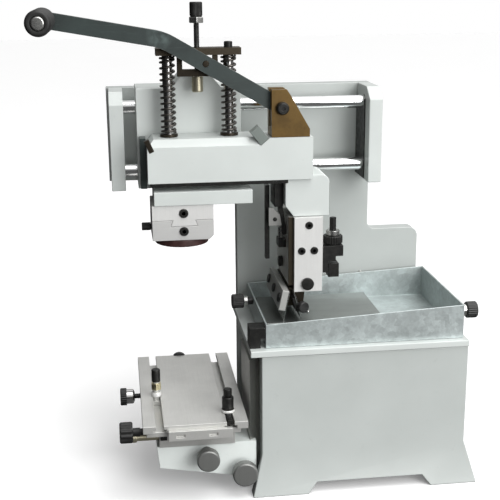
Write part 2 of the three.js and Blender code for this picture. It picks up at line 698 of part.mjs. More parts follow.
// ---- knee and table --------------------------------------------------------------------------------------
function knee() {
  const shape = outline([
    [KNEE.left, KNEE.top], [KNEE.left + 3, 36], [-31, 20], [KNEE.right, 16], [KNEE.right, KNEE.top],
  ]);
  const { out, undercut, play } = SLIDEWAY;
  const [front, back] = [SLIDEWAY.front - play, SLIDEWAY.back + play];
  const groove = outline([
    [-out - play, front], [-out - play, back], [0, back - undercut], [0, front + undercut],
  ]);
  const bore = ({ x, z, tip }) => shaft('y', [x, 0, z], KNOB_STEM_R + GAP, KNEE.front - 1, tip + 1);
  return frontPrism(shape, KNEE.front, KNEE.back).subtract(topPrism(groove, 0, KNEE.top + 1)).subtract(
    bore(KNEE_LOCK)).subtract(bore(CROSS_FEED));
}

function kneeKnob({ x, z, radius, front, tip }) {
  return turned('y', [x, 0, z], [
    [0, front], [radius - 1.5, front], [radius, front + 1.5], [radius, front + 11], [radius - 1, front + 12],
    [6, front + 12], [6, KNEE.front - GAP], [KNOB_STEM_R, KNEE.front - GAP], [KNOB_STEM_R, tip], [0, tip],
  ]);
}

function crossSlide() {
  const { left, right, front, back, low, top } = CROSS_SLIDE;
  return block(left, right, front, back, low, top);
}

function table() {
  const { left, right, front, back, top, low } = TABLE;
  const { inset, insetRight, insetFront } = TABLE_BED;
  const [bedLeft, bedRight] = [left + inset, right - insetRight];
  const bed = block(bedLeft, bedRight, front + insetFront, back - insetRight, low, TABLE_BED.top);
  let solid = block(left, right, front, back, top - TABLE.plate, top).add(bed);
  const slot = (x, width, high) =>
    block(x - width / 2, x + width / 2, front - 1, back + 1, top - SLOT_DEPTH, high);
  for (const x of Object.values(SLOT_XS)) {
    solid = solid.subtract(slot(x, SLOT_W, top + 1)).subtract(slot(x, SLOT_WIDE, top - SLOT_LIP));
  }
  return solid;
}

function tableFeedKnob() {
  return turned('x', [TABLE.left, TABLE_FEED.y, TABLE_FEED.z], [
    [0, -27], [11, -27], [12.5, -25.5], [12.5, -13], [11, -11.5],
    [5, -11.5], [5, -3], [4, -3], [4, 3.5], [0, 3.5],
  ]);
}

function tableLockKnob() {
  return turned('x', [TABLE.left, TABLE_LOCK.y, TABLE_LOCK.z], [
    [0, -25], [10, -25], [11, -24], [11, -17], [8.5, -17], [8.5, -9],
    [5, -7.5], [3, -7.5], [3, 3.5], [0, 3.5],
  ]);
}

function slottedBar() {
  const { left, right, low, top, depth, slotXs } = SLOTTED_BAR;
  const front = TABLE.front - depth;
  let solid = block(left, right, front, TABLE.front - GAP, low, top);
  for (const x of slotXs) {
    solid = solid.subtract(block(x - 5, x + 5, front - 1, front + depth / 2, low + 4, low + 7.5));
  }
  return solid;
}

// A stud in a slot of the table: a square nut below the lips, a collar on the plate and a black head above.
function clampStud(x, y, profile) {
  const [low, high] = [TABLE.top - SLOT_DEPTH + GAP, TABLE.top - SLOT_LIP - GAP];
  const nut = block(x - STUD_NUT, x + STUD_NUT, y - STUD_NUT, y + STUD_NUT, low, high);
  const foot = -SLOT_LIP - 2;
  return nut.add(turned('z', [x, y, TABLE.top], [[0, foot], [STUD_R, foot], [STUD_R, GAP], ...profile]));
}

function leftStud() {
  return clampStud(SLOT_XS.left, 69, [
    [5.2, GAP], [5.2, 6], [4, 6.5], [4, 18], [4.4, 18.5], [4.4, 34], [3.6, 35], [0, 35],
  ]);
}

function rightStud() {
  return clampStud(SLOT_XS.right, 10, [
    [7.5, GAP], [7.5, 4], [5, 4.5], [5, 18], [3, 18.5], [3, 20], [4.6, 20.5], [4.6, 29], [0, 29],
  ]);
}

// ---- assembly --------------------------------------------------------------------------------------------
add('base_body', baseBody(), greyPaint);
add('top_plate', topPlate(), castPaint);
add('column_plate', columnPlate(), greyPaint);
add('left_rail_bracket', leftRailBracket(), castPaint);
add('right_rail_bracket', rightRailBracket(), castPaint);
add('upper_rail', rail(UPPER_RAIL_Z), chrome);
add('lower_rail', rail(LOWER_RAIL_Z), chrome);
add('knee_slideway', kneeSlideway(), groundSteel);
add('ink_tray', tray(), galvanised);
add('cliche_block', clicheBlock(), darkSteel);
add('cliche_plate', clichePlate(), brightSteel);
add('tray_clamp_block', trayClampBlock(), blackOxide);
add('left_tray_screw', leftTrayScrew(), blackPlastic);
add('right_tray_screw', rightTrayScrew(), blackPlastic);

add('slide_block', slideBlock(), castPaint);
add('upper_rail_bush', railBush(UPPER_RAIL_Z), bronze);
add('lower_rail_bush', railBush(LOWER_RAIL_Z), bronze);
add('head_arm', headArm(), castPaint);
add('stop_lug', stopLugShape(0), leverPaint);
add('blade_neck', bladeNeck(), castPaint);
add('lever_bracket', leverBracket(), ochreSteel);
add('pivot_bolt', pivotBolt(), darkSteel);
for (const [side, x] of Object.entries(ROD_XS)) {
  add(`${side}_rod_bush`, rodBush(x), bronze);
  add(`${side}_spring`, spring(x), brightSteel);
  add(`${side}_guide_rod`, guideRod(x), chrome);
}
add('holder_front_plate', holderFrontPlate(), milledAlloy);
add('holder_block', holderBlock(), groundSteel);
add('lift_bracket', liftBracket(), blackOxide);
add('lift_screw', liftScrew(), blackOxide);
add('rocker_pin', rockerPin(), blackOxide);
add('rocker_block', rockerBlock(), darkSteel);
add('blade_clamp', bladeClamp(), groundSteel);
add('doctor_blade', doctorBlade(), brightSteel);
add('ink_spatula', inkSpatula(), brightSteel);

add('lever_bar', leverBar(), leverPaint);
add('link_roller', linkRoller(), darkSteel);
add('grip_core', gripCore(), brightSteel);
add('grip_sleeve', gripSleeve(), rubber);

add('crossbar', crossbar(), brownSteel);
add('yoke', yoke(), darkSteel);
add('adjust_screw', adjustScrew(), blackOxide);
add('stop_sleeve', stopSleeve(), bronze);
add('pad_plate', padPlate(), castPaint);
add('pad_block', padBlock(), milledAlloy);
add('pad_shoe', padShoe(), milledAlloy);
add('shoe_screw', shoeScrew(), blackOxide);
add('pad_disc', padDisc(), rubber);

add('knee', knee(), castPaint);
add('knee_lock_knob', kneeKnob(KNEE_LOCK), groundSteel);
add('cross_feed_knob', kneeKnob(CROSS_FEED), groundSteel);
add('cross_slide', crossSlide(), groundSteel);
add('table', table(), groundSteel);
add('slotted_bar', slottedBar(), groundSteel);
add('table_feed_knob', tableFeedKnob(), blackPlastic);
add('table_lock_knob', tableLockKnob(), blackPlastic);
add('left_stud', leftStud(), darkSteel);
add('right_stud', rightStud(), darkSteel);

press.updateMatrixWorld(true);
const box = new THREE.Box3().setFromObject(press, true);
press.position.set(-(box.min.x + box.max.x) / 2, -(box.min.y + box.max.y) / 2, -box.min.z);

export default press;
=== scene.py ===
import json
import math

import bmesh
import bpy
from bpy.props import FloatProperty, FloatVectorProperty, IntProperty, PointerProperty
from bpy.types import Operator, Panel, PropertyGroup
from mathutils import Matrix, Vector

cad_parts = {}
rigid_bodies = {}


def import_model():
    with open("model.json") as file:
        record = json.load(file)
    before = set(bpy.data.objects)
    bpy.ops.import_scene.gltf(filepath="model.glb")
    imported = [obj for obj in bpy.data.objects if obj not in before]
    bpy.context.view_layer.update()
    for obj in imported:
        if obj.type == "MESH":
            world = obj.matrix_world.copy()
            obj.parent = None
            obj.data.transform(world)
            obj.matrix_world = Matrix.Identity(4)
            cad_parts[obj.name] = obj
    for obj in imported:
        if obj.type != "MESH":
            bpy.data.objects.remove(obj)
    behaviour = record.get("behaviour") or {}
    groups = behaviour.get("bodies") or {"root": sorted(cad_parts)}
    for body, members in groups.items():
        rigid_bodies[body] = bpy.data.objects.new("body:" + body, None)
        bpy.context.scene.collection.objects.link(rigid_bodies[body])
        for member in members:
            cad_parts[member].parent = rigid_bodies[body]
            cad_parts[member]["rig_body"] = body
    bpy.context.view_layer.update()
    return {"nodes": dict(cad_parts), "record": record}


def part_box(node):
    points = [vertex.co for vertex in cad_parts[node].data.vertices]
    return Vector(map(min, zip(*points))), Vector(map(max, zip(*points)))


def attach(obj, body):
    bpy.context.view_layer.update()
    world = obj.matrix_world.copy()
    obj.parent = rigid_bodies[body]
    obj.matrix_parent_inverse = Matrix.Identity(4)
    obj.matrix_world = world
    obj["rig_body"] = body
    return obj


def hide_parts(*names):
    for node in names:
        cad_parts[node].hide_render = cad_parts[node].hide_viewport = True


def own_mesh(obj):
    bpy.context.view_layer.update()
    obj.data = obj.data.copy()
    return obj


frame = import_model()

bl_info = {
    "name": "Hand pad printing press",
    "version": (1, 0, 0),
    "blender": (4, 5, 0),
    "location": "View3D > Sidebar > Press",
    "description": "Finishes a hand-lever pad printing press around its fixed frame",
    "category": "Object",
}

MM = 0.001
AXES = {"x": Vector((1, 0, 0)), "y": Vector((0, 1, 0)), "z": Vector((0, 0, 1))}
RIGHTWARDS, BACKWARDS, UPWARDS = AXES.values()
FORWARDS = -BACKWARDS
LEFTWARDS = -RIGHTWARDS
SHARP = math.radians(28)
SMOOTH = math.radians(38)
TINY = 2e-6
BLADE_LEAN = math.radians(12)
BLADE_EDGE = 0.1 * MM
STUD_EDGE = 0.3 * MM
COIL_STEPS = 22
M8_HEAD = (6.5, 6.5)
BACK_SCREW_SINK = 3
FLOOR_REACH = 9.0
PAPER_GLOW = 0.16

# Each lamp's name, place, aim, sides, watts, and whether polished metal mirrors it.
LAMPS = (
    ("key_light", (1.15, -2.0, 0.95), (0, 0, 0.28), (1.3, 1.3), 31.0, True),
    ("top_light", (0.5, -0.3, 2.3), (0, 0, 0.1), (1.4, 1.4), 15.0, True),
    ("front_light", (0.25, -2.3, 0.40), (0, 0, 0.12), (1.6, 0.8), 15.0, False),
)


# ---- sizes and colours that a user may change -------------------------------------------------------------
def colour_property(name, description, default):
    return FloatVectorProperty(name=name, description=description, default=default, subtype="COLOR",
                               size=3, min=0, max=1)


def length_property(name, description, default):
    return FloatProperty(name=name, description=description, default=default, unit="LENGTH",
                         subtype="DISTANCE", min=0, precision=5)


def angle_property(name, description, degrees):
    return FloatProperty(name=name, description=description, default=math.radians(degrees), subtype="ANGLE")


class PressFinishes(PropertyGroup):
    """Colours of the paints and metals."""
    casing: colour_property("Casing paint", "Enamel of the casing and column", (0.455, 0.483, 0.468))
    casting: colour_property("Casting paint", "Lighter enamel of the head and arm", (0.590, 0.624, 0.606))
    lever: colour_property("Lever paint", "Dark green-grey paint of the lever", (0.034, 0.045, 0.043))
    ochre: colour_property("Ochre steel", "Steel of the lever bracket", (0.150, 0.090, 0.026))
    brown: colour_property("Brown steel", "Oiled steel of the crossbar and yoke", (0.066, 0.054, 0.038))
    ground: colour_property("Ground steel", "Steel of the table and slides", (0.68, 0.68, 0.655))
    alloy: colour_property("Milled alloy", "Plates of the blade and pad holders", (0.76, 0.76, 0.745))
    zinc: colour_property("Zinc coat", "Galvanised sheet of the tray", (0.53, 0.585, 0.58))
    brass: colour_property("Brass", "Brass nuts", (0.66, 0.60, 0.40))
    lug: colour_property("Lug paint", "Grey-green paint of the lugs on the arm", (0.17, 0.195, 0.18))
    sleeve: colour_property("Sleeve metal", "Pale bronze of the stop sleeve", (0.60, 0.56, 0.42))
    bronze: colour_property("Bronze", "Bushes of the rails", (0.40, 0.29, 0.15))


class PressShapes(PropertyGroup):
    """Sizes of the fine details."""
    steps: IntProperty(name="Round steps", description="Steps in one full turn", default=72, min=24)
    cast_edge: length_property("Casting edge", "Edge radius of painted castings", 1.4 * MM)
    plate_edge: length_property("Plate edge", "Broken edge of machined plates", 0.5 * MM)
    turned_edge: length_property("Turned edge", "Broken edge of turned pieces", 0.3 * MM)
    sheet_edge: length_property("Sheet edge", "Edge radius of the tray's sheet", 0.4 * MM)
    wire: length_property("Spring wire", "Radius of the spring wire", 1.4 * MM)
    spring_turns: IntProperty(name="Spring turns", description="Open turns of a spring", default=12, min=4)


class PressCamera(PropertyGroup):
    """Where the camera stands."""
    place: FloatVectorProperty(name="Place", description="Camera position from the casing's low corner",
                               default=(-0.14312, -1.08216, 0.60456), subtype="TRANSLATION", unit="LENGTH")
    yaw: angle_property("Yaw", "Turn towards +X", 7.44)
    pitch: angle_property("Pitch", "Tilt downwards", 15.23)
    roll: angle_property("Roll", "Roll about the line of sight", -0.46)
    lens: FloatProperty(name="Lens", description="Focal length", default=73.11, unit="CAMERA")


def finishes():
    return bpy.context.scene.press_finishes


def shapes():
    return bpy.context.scene.press_shapes


# ---- building materials -----------------------------------------------------------------------------------
class Finish:
    """One procedural material, built node by node on Object coordinates."""

    def __init__(self, name, metallic, roughness, **constants):
        self.material = bpy.data.materials.new(name)
        self.material.use_nodes = True
        self.tree = self.material.node_tree
        self.tree.nodes.clear()
        self.shader = self.tree.nodes.new("ShaderNodeBsdfPrincipled")
        output = self.tree.nodes.new("ShaderNodeOutputMaterial")
        self.tree.links.new(self.shader.outputs["BSDF"], output.inputs["Surface"])
        self.shader.inputs["Metallic"].default_value = metallic
        self.shader.inputs["Roughness"].default_value = roughness
        for socket, value in constants.items():
            self.shader.inputs[socket.replace("_", " ")].default_value = value
        self.places = self.tree.nodes.new("ShaderNodeTexCoord").outputs["Object"]

    def node(self, kind, inputs=None, **settings):
        made = self.tree.nodes.new(kind)
        for key, value in settings.items():
            setattr(made, key, value)
        for key, value in (inputs or {}).items():
            if isinstance(value, bpy.types.NodeSocket):
                self.tree.links.new(value, made.inputs[key])
            else:
                made.inputs[key].default_value = value
        return made

    def stretched(self, scale):
        mapping = self.node("ShaderNodeMapping", {"Vector": self.places, "Scale": scale})
        return mapping.outputs["Vector"]

    def noise(self, scale, detail=3.0, roughness=0.55, stretch=(1, 1, 1)):
        made = self.node("ShaderNodeTexNoise", {
            "Vector": self.stretched(stretch), "Scale": scale, "Detail": detail, "Roughness": roughness})
        return made.outputs["Fac"]

    def cells(self, scale, feature="F1", output="Color"):
        made = self.node("ShaderNodeTexVoronoi", {"Vector": self.places, "Scale": scale}, feature=feature)
        return made.outputs[output]

    def span(self, value, low, high, to_low=0.0, to_high=1.0):
        made = self.node("ShaderNodeMapRange", {
            "Value": value, "From Min": low, "From Max": high, "To Min": to_low, "To Max": to_high})
        return made.outputs["Result"]

    def maths(self, operation, a, b):
        made = self.node("ShaderNodeMath", operation=operation, use_clamp=False)
        for socket, value in zip(made.inputs, (a, b)):
            if isinstance(value, bpy.types.NodeSocket):
                self.tree.links.new(value, socket)
            else:
                socket.default_value = value
        return made.outputs["Value"]

    def blend(self, factor, a, b):
        made = self.tree.nodes.new("ShaderNodeMix")
        made.data_type = "RGBA"
        colours = [socket for socket in made.inputs if socket.type == "RGBA"]
        for socket, value in ((made.inputs[0], factor), (colours[0], a), (colours[1], b)):
            if isinstance(value, bpy.types.NodeSocket):
                self.tree.links.new(value, socket)
            else:
                socket.default_value = value
        return next(socket for socket in made.outputs if socket.type == "RGBA")

    def edges(self, radius, spread):
        """1 along worn edges and corners, broken up by noise, and 0 on open faces."""
        bevel = self.node("ShaderNodeBevel", {"Radius": radius}, samples=6)
        flat = self.node("ShaderNodeNewGeometry").outputs["Normal"]
        normals = {0: bevel.outputs["Normal"], 1: flat}
        dot = self.node("ShaderNodeVectorMath", normals, operation="DOT_PRODUCT")
        turn = self.span(dot.outputs["Value"], 0.995, 0.90)
        patch = self.span(self.noise(spread, 5.0, 0.7), 0.42, 0.62)
        return self.maths("MULTIPLY", turn, patch)

    def colour(self, socket):
        self.tree.links.new(socket, self.shader.inputs["Base Color"])

    def roughness(self, socket):
        self.tree.links.new(socket, self.shader.inputs["Roughness"])

    def metallic(self, socket):
        self.tree.links.new(socket, self.shader.inputs["Metallic"])

    def bump(self, height, distance, strength=1.0, below=None):
        inputs = {"Height": height, "Distance": distance, "Strength": strength}
        if below is not None:
            inputs["Normal"] = below
        made = self.node("ShaderNodeBump", inputs)
        self.tree.links.new(made.outputs["Normal"], self.shader.inputs["Normal"])
        return made.outputs["Normal"]


def tone(colour, factor):
    return (*[min(1.0, c * factor) for c in colour], 1.0)


def enamel(name, colour, grime=0.9):
    """Sprayed machine enamel: faint clouding, small stains, chips on the edges and orange peel."""
    paint = Finish(name, 0.0, 0.4, Coat_Weight=0.15, Coat_Roughness=0.2)
    clouds = paint.span(paint.noise(14.0, 4.0), 0.3, 0.7)
    clean = paint.blend(clouds, tone(colour, 0.955), tone(colour, 1.03))
    spots = paint.span(paint.noise(85.0, 6.0, 0.7), 0.62, 0.78)
    soiled = paint.blend(paint.maths("MULTIPLY", spots, 0.35), clean, tone(colour, grime * 0.8))
    wear = paint.edges(0.9 * MM, 160.0)
    paint.colour(paint.blend(paint.maths("MULTIPLY", wear, 0.55), soiled, (0.30, 0.30, 0.28, 1.0)))
    paint.roughness(paint.span(paint.noise(60.0, 4.0), 0.3, 0.7, 0.33, 0.47))
    peel = paint.noise(700.0, 2.0)
    paint.bump(peel, 0.06 * MM, 0.5)
    return paint.material


def drawn_out(along, share):
    """The scale of a pattern that is drawn out into lines along one axis."""
    return tuple(share if axis == along else 1.0 for axis in AXES)


def brushed(name, colour, along="x", roughness=0.32, metallic=1.0, depth=0.012, contrast=0.12, dirt=0.75):
    """Bare metal with fine parallel tool lines along one axis, faint stains and brighter rubbed edges."""
    metal = Finish(name, metallic, roughness, Anisotropic=0.25)
    lines = metal.noise(900.0, 3.0, 0.6, drawn_out(along, 0.03))
    stains = metal.span(metal.noise(22.0, 5.0, 0.6), 0.35, 0.7)
    bright = metal.blend(lines, tone(colour, 1 - contrast), tone(colour, 1 + contrast))
    stained = metal.blend(metal.maths("MULTIPLY", stains, 0.35), bright, tone(colour, dirt))
    rubbed = metal.edges(0.6 * MM, 220.0)
    metal.colour(metal.blend(metal.maths("MULTIPLY", rubbed, 0.5), stained, tone(colour, 1.35)))
    dull = metal.span(stains, 0, 1, roughness, roughness + 0.1)
    metal.roughness(metal.maths("ADD", metal.span(lines, 0.3, 0.7, -0.05, 0.07), dull))
    metal.bump(lines, depth * MM, 0.6)
    return metal.material


def patina(name, colour, roughness=0.42, metallic=0.75, spots=0.5):
    """Passivated or oiled steel: cloudy colour, small dark freckles and rubbed edges."""
    metal = Finish(name, metallic, roughness)
    clouds = metal.span(metal.noise(45.0, 5.0, 0.65), 0.3, 0.72)
    base = metal.blend(clouds, tone(colour, 0.72), tone(colour, 1.25))
    freckles = metal.span(metal.noise(420.0, 4.0, 0.7), 0.6, 0.72)
    marked = metal.blend(metal.maths("MULTIPLY", freckles, spots), base, tone(colour, 0.35))
    rubbed = metal.edges(0.7 * MM, 200.0)
    metal.colour(metal.blend(metal.maths("MULTIPLY", rubbed, 0.6), marked, tone(colour, 2.0)))
    metal.roughness(metal.span(clouds, 0, 1, roughness + 0.08, roughness - 0.08))
    metal.bump(metal.noise(900.0, 3.0), 0.02 * MM, 0.5)
    return metal.material


def polished(name, colour, roughness=0.09, along="x"):
    """Hard chrome: mirror bright, with hairline marks left by the sliding bushes."""
    metal = Finish(name, 1.0, roughness)
    hairs = metal.noise(1400.0, 2.0, 0.5, drawn_out(along, 0.02))
    film = metal.span(metal.noise(40.0, 4.0), 0.35, 0.7)
    metal.colour(metal.blend(film, tone(colour, 1.0), tone(colour, 0.9)))
    dull = metal.span(film, 0, 1, roughness, roughness + 0.05)
    metal.roughness(metal.maths("ADD", metal.span(hairs, 0.45, 0.7, 0.0, 0.1), dull))
    metal.bump(hairs, 0.004 * MM, 0.4)
    return metal.material


def spangle(name, colour):
    """Galvanised sheet: crystals of differing grey, a dull film and dark rub marks."""
    zinc = Finish(name, 0.55, 0.42)
    crystal = zinc.node("ShaderNodeSeparateColor", {"Color": zinc.cells(150.0)}).outputs["Red"]
    fine = zinc.node("ShaderNodeSeparateColor", {"Color": zinc.cells(420.0)}).outputs["Green"]
    cloudy = zinc.noise(55.0, 4.0, 0.6)
    mix = zinc.maths("ADD", zinc.maths("MULTIPLY", crystal, 0.35), zinc.maths("MULTIPLY", fine, 0.2))
    mix = zinc.maths("ADD", mix, zinc.maths("MULTIPLY", cloudy, 0.45))
    flakes = zinc.blend(mix, tone(colour, 0.72), tone(colour, 1.28))
    film = zinc.span(zinc.noise(20.0, 5.0, 0.65), 0.42, 0.68)
    dulled = zinc.blend(zinc.maths("MULTIPLY", film, 0.5), flakes, tone(colour, 0.62))
    rubbed = zinc.edges(0.8 * MM, 150.0)
    zinc.colour(zinc.blend(zinc.maths("MULTIPLY", rubbed, 0.7), dulled, tone(colour, 1.6)))
    zinc.roughness(zinc.span(mix, 0, 1, 0.3, 0.5))
    zinc.bump(zinc.maths("ADD", mix, cloudy), 0.03 * MM, 0.4)
    return zinc.material


def black_oxide(name, level=0.022):
    """Blackened screws and blocks: satin black with bare steel showing on sharp edges."""
    steel = Finish(name, 0.55, 0.4)
    sheen = steel.span(steel.noise(150.0, 4.0), 0.35, 0.7)
    deep, worn = (level * 0.7, level * 0.7, level * 0.68, 1), (level * 1.6, level * 1.6, level * 1.5, 1)
    base = steel.blend(sheen, deep, worn)
    wear = steel.edges(0.5 * MM, 260.0)
    steel.colour(steel.blend(steel.maths("MULTIPLY", wear, 0.75), base, (0.22, 0.22, 0.21, 1)))
    steel.roughness(steel.span(sheen, 0, 1, 0.46, 0.32))
    steel.bump(steel.noise(1100.0, 2.0), 0.02 * MM, 0.5)
    return steel.material


def moulding(name, level, roughness, grain, depth, hue=(1.0, 1.0, 0.98)):
    """Dark plastic or rubber with a moulded grain and a dusty bloom."""
    mould = Finish(name, 0.0, roughness, Specular_IOR_Level=0.45)
    bloom = mould.span(mould.noise(70.0, 5.0, 0.65), 0.4, 0.7)
    dull = [level * part for part in hue]
    base = mould.blend(bloom, tone(dull, 1.0), tone(dull, 2.2))
    wear = mould.edges(0.7 * MM, 180.0)
    mould.colour(mould.blend(mould.maths("MULTIPLY", wear, 0.4), base, (0.10, 0.10, 0.095, 1)))
    mould.roughness(mould.span(bloom, 0, 1, roughness - 0.06, roughness + 0.08))
    mould.bump(mould.noise(grain, 3.0, 0.6), depth * MM, 0.7)
    return mould.material


def lever_paint(name, colour, bend):
    """Dark paint with long scuffs along the bar and bare steel where hands and the link rub."""
    paint = Finish(name, 0.15, 0.4, Coat_Weight=0.1, Coat_Roughness=0.25)
    clouds = paint.span(paint.noise(30.0, 4.0), 0.3, 0.7)
    base = paint.blend(clouds, tone(colour, 0.8), tone(colour, 1.3))
    scuffs = paint.span(paint.noise(260.0, 4.0, 0.6, (0.08, 1, 1)), 0.6, 0.74)
    scuffed = paint.blend(paint.maths("MULTIPLY", scuffs, 0.35), base, tone(colour, 3.2))
    apart = paint.node("ShaderNodeVectorMath", {0: paint.places, 1: bend}, operation="DISTANCE")
    rubbed = paint.maths("MULTIPLY", paint.span(apart.outputs["Value"], 16 * MM, 4 * MM),
                         paint.span(paint.noise(90.0, 4.0), 0.35, 0.65))
    scuffed = paint.blend(paint.maths("MULTIPLY", rubbed, 0.5), scuffed, tone(colour, 6.0))
    wear = paint.edges(0.9 * MM, 120.0)
    paint.colour(paint.blend(paint.maths("MULTIPLY", wear, 0.6), scuffed, (0.26, 0.27, 0.26, 1)))
    paint.roughness(paint.span(clouds, 0, 1, 0.45, 0.34))
    paint.bump(paint.noise(600.0, 3.0), 0.05 * MM, 0.4)
    return paint.material


def etched_plate(name, colour):
    """The etched steel plate: satin grey with a film of dried ink in cloudy wipes."""
    plate = Finish(name, 0.9, 0.3)
    wipes = plate.span(plate.noise(9.0, 4.0, 0.6, (0.35, 1, 1)), 0.35, 0.68)
    film = plate.span(plate.noise(38.0, 5.0, 0.65), 0.52, 0.72)
    base = plate.blend(wipes, tone(colour, 0.82), tone(colour, 1.15))
    plate.colour(plate.blend(plate.maths("MULTIPLY", film, 0.35), base, tone(colour, 0.5)))
    plate.roughness(plate.span(wipes, 0, 1, 0.36, 0.24))
    plate.bump(plate.noise(300.0, 2.0), 0.004 * MM, 0.3)
    return plate.material


def make_finishes():
    """Every paint and metal, by the short name that the pieces use."""
    tints = finishes()
    return {
        "casing": enamel("casing_enamel", tints.casing),
        "casting": enamel("casting_enamel", tints.casting),
        # The knee gets a brighter copy of the casting enamel: painted light that offsets the shade the table
        # casts on the knee.
        "knee": enamel("knee_brightened_enamel", tone(tints.casting, 1.28)[:3]),
        "lever": lever_paint("lever_paint", tints.lever, spot("lever_bar", 0.48, 0, 0.76)),
        "lug": enamel("lug_enamel", tints.lug),
        "ochre": patina("ochre_steel", tints.ochre, 0.38, 0.55, 0.35),
        "brown": patina("brown_steel", tints.brown, 0.4, 0.8),
        "dark": patina("dark_steel", tone(tints.brown, 0.62)[:3], 0.42, 0.8),
        "ground": brushed("ground_steel", tints.ground, "y", 0.38, 0.6),
        "slide": brushed("slide_steel", tone(tints.ground, 0.8)[:3], "z", 0.3, 1.0, dirt=0.45),
        "alloy": brushed("milled_alloy", tints.alloy, "z", 0.36, 0.3, contrast=0.07),
        "shoe": brushed("shoe_alloy", tone(tints.alloy, 0.80)[:3], "x", 0.38, 0.3, contrast=0.07),
        "bright": brushed("bright_steel", (0.62, 0.62, 0.60), "y", 0.22, 1.0, depth=0.006),
        "spring": brushed("spring_steel", (0.13, 0.122, 0.112), "z", 0.28, 1.0, depth=0.004),
        "knob_steel": brushed("knob_steel", (0.25, 0.255, 0.245), "z", 0.36, 0.6, depth=0.02),
        "clamp": brushed("clamp_steel", tone(tints.ground, 0.78)[:3], "y", 0.4, 0.5),
        "hanger": brushed("hanger_steel", tone(tints.ground, 0.55)[:3], "z", 0.4, 0.6),
        "etched": etched_plate("etched_plate", (0.30, 0.315, 0.305)),
        "pad": moulding("pad_backing", 0.02, 0.5, 500.0, 0.05, (1.9, 0.85, 0.8)),
        "sleeve": brushed("pale_bronze", tints.sleeve, "z", 0.34, 0.9, depth=0.006),
        "rail": polished("rail_chrome", (0.86, 0.87, 0.87), 0.08, "x"),
        "rod": polished("rod_chrome", (0.70, 0.69, 0.68), 0.10, "z"),
        "zinc": spangle("zinc_spangle", tints.zinc),
        "oxide": black_oxide("black_oxide"),
        "plastic": moulding("black_plastic", 0.012, 0.42, 900.0, 0.03),
        "rubber": moulding("black_rubber", 0.014, 0.55, 500.0, 0.06),
        "brass": brushed("brass", tints.brass, "z", 0.25, 1.0, depth=0.006),
        "bronze": brushed("bronze", tints.bronze, "z", 0.32, 1.0, depth=0.006),
    }


FINISHES = {}


# ---- building meshes --------------------------------------------------------------------------------------
def mm(x, y, z):
    """A step in millimetres."""
    return Vector((x, y, z)) * MM


def spot(node, fx, fy, fz, x=0.0, y=0.0, z=0.0):
    """A point in a CAD node's box, by fractions of its sides plus offsets in millimetres."""
    low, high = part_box(node)
    inside = Vector([low[i] + share * (high[i] - low[i]) for i, share in enumerate((fx, fy, fz))])
    return inside + mm(x, y, z)


def sides_of(node):
    """The sides of a CAD node's box in millimetres."""
    low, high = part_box(node)
    return (high - low) / MM


def merged_copy(node):
    bm = bmesh.new()
    bm.from_mesh(frame["nodes"][node].data)
    bmesh.ops.remove_doubles(bm, verts=bm.verts, dist=TINY)
    return bm


def everything(bm):
    return bm.verts[:] + bm.edges[:] + bm.faces[:]


def edges_at(verts):
    return list({edge for vert in verts for edge in vert.link_edges})


def only(items, kind):
    return [item for item in items if isinstance(item, kind)]


def break_edges(bm, width, segments=2):
    """Rounds every sharp edge."""
    sharp = [e for e in bm.edges if e.is_manifold and e.calc_face_angle() > SHARP]
    if sharp and width > 0:
        bmesh.ops.bevel(bm, geom=sharp, offset=width, offset_type="OFFSET", segments=segments, profile=0.5,
                        affect="EDGES", clamp_overlap=True, material=-1)


def crisp_copy(node, width, segments=2):
    bm = merged_copy(node)
    bmesh.ops.dissolve_limit(bm, angle_limit=math.radians(0.6), verts=bm.verts, edges=bm.edges)
    break_edges(bm, width, segments)
    return bm


def sweep(bm, geom, middle, along, steps):
    bmesh.ops.spin(bm, geom=geom, cent=middle, axis=along, dvec=(0, 0, 0), angle=2 * math.pi, steps=steps,
                   use_merge=True)
    bmesh.ops.remove_doubles(bm, verts=bm.verts, dist=TINY)
    bmesh.ops.recalc_face_normals(bm, faces=bm.faces)


def turned_copy(node, axis, steps=None, edge=None):
    """A turned CAD piece, cut down to its half section and swept again with finer steps."""
    bm = merged_copy(node)
    middle = spot(node, 0.5, 0.5, 0.5)
    along = AXES[axis]
    across = AXES["y"] if axis == "z" else AXES["z"]
    bmesh.ops.bisect_plane(bm, geom=everything(bm), dist=TINY, plane_co=middle, plane_no=along.cross(across),
                           clear_inner=True, clear_outer=True)
    bmesh.ops.bisect_plane(bm, geom=everything(bm), dist=TINY, plane_co=middle, plane_no=across,
                           clear_inner=True)
    sweep(bm, bm.verts[:] + bm.edges[:], middle, along, steps or shapes().steps)
    break_edges(bm, shapes().turned_edge if edge is None else edge)
    return bm


def turned(middle, along, profile, steps=None, edge=None):
    """A turned piece from a profile of (radius, distance along the axis) in millimetres."""
    bm = bmesh.new()
    verts = [bm.verts.new((radius * MM, 0, height * MM)) for radius, height in profile]
    chain = [bm.edges.new(pair) for pair in zip(verts, verts[1:])]
    if profile[0][0] > 0:
        chain.append(bm.edges.new((verts[-1], verts[0])))
    sweep(bm, verts + chain, (0, 0, 0), UPWARDS, steps or shapes().steps)
    break_edges(bm, shapes().turned_edge if edge is None else edge)
    return placed(bm, middle, along)


def placed(bm, middle, along):
    """Turns a mesh made along +Z to point along a direction, and moves it to a point."""
    turn = UPWARDS.rotation_difference(Vector(along)).to_matrix().to_4x4()
    bmesh.ops.transform(bm, matrix=Matrix.Translation(middle) @ turn, verts=bm.verts)
    return bm


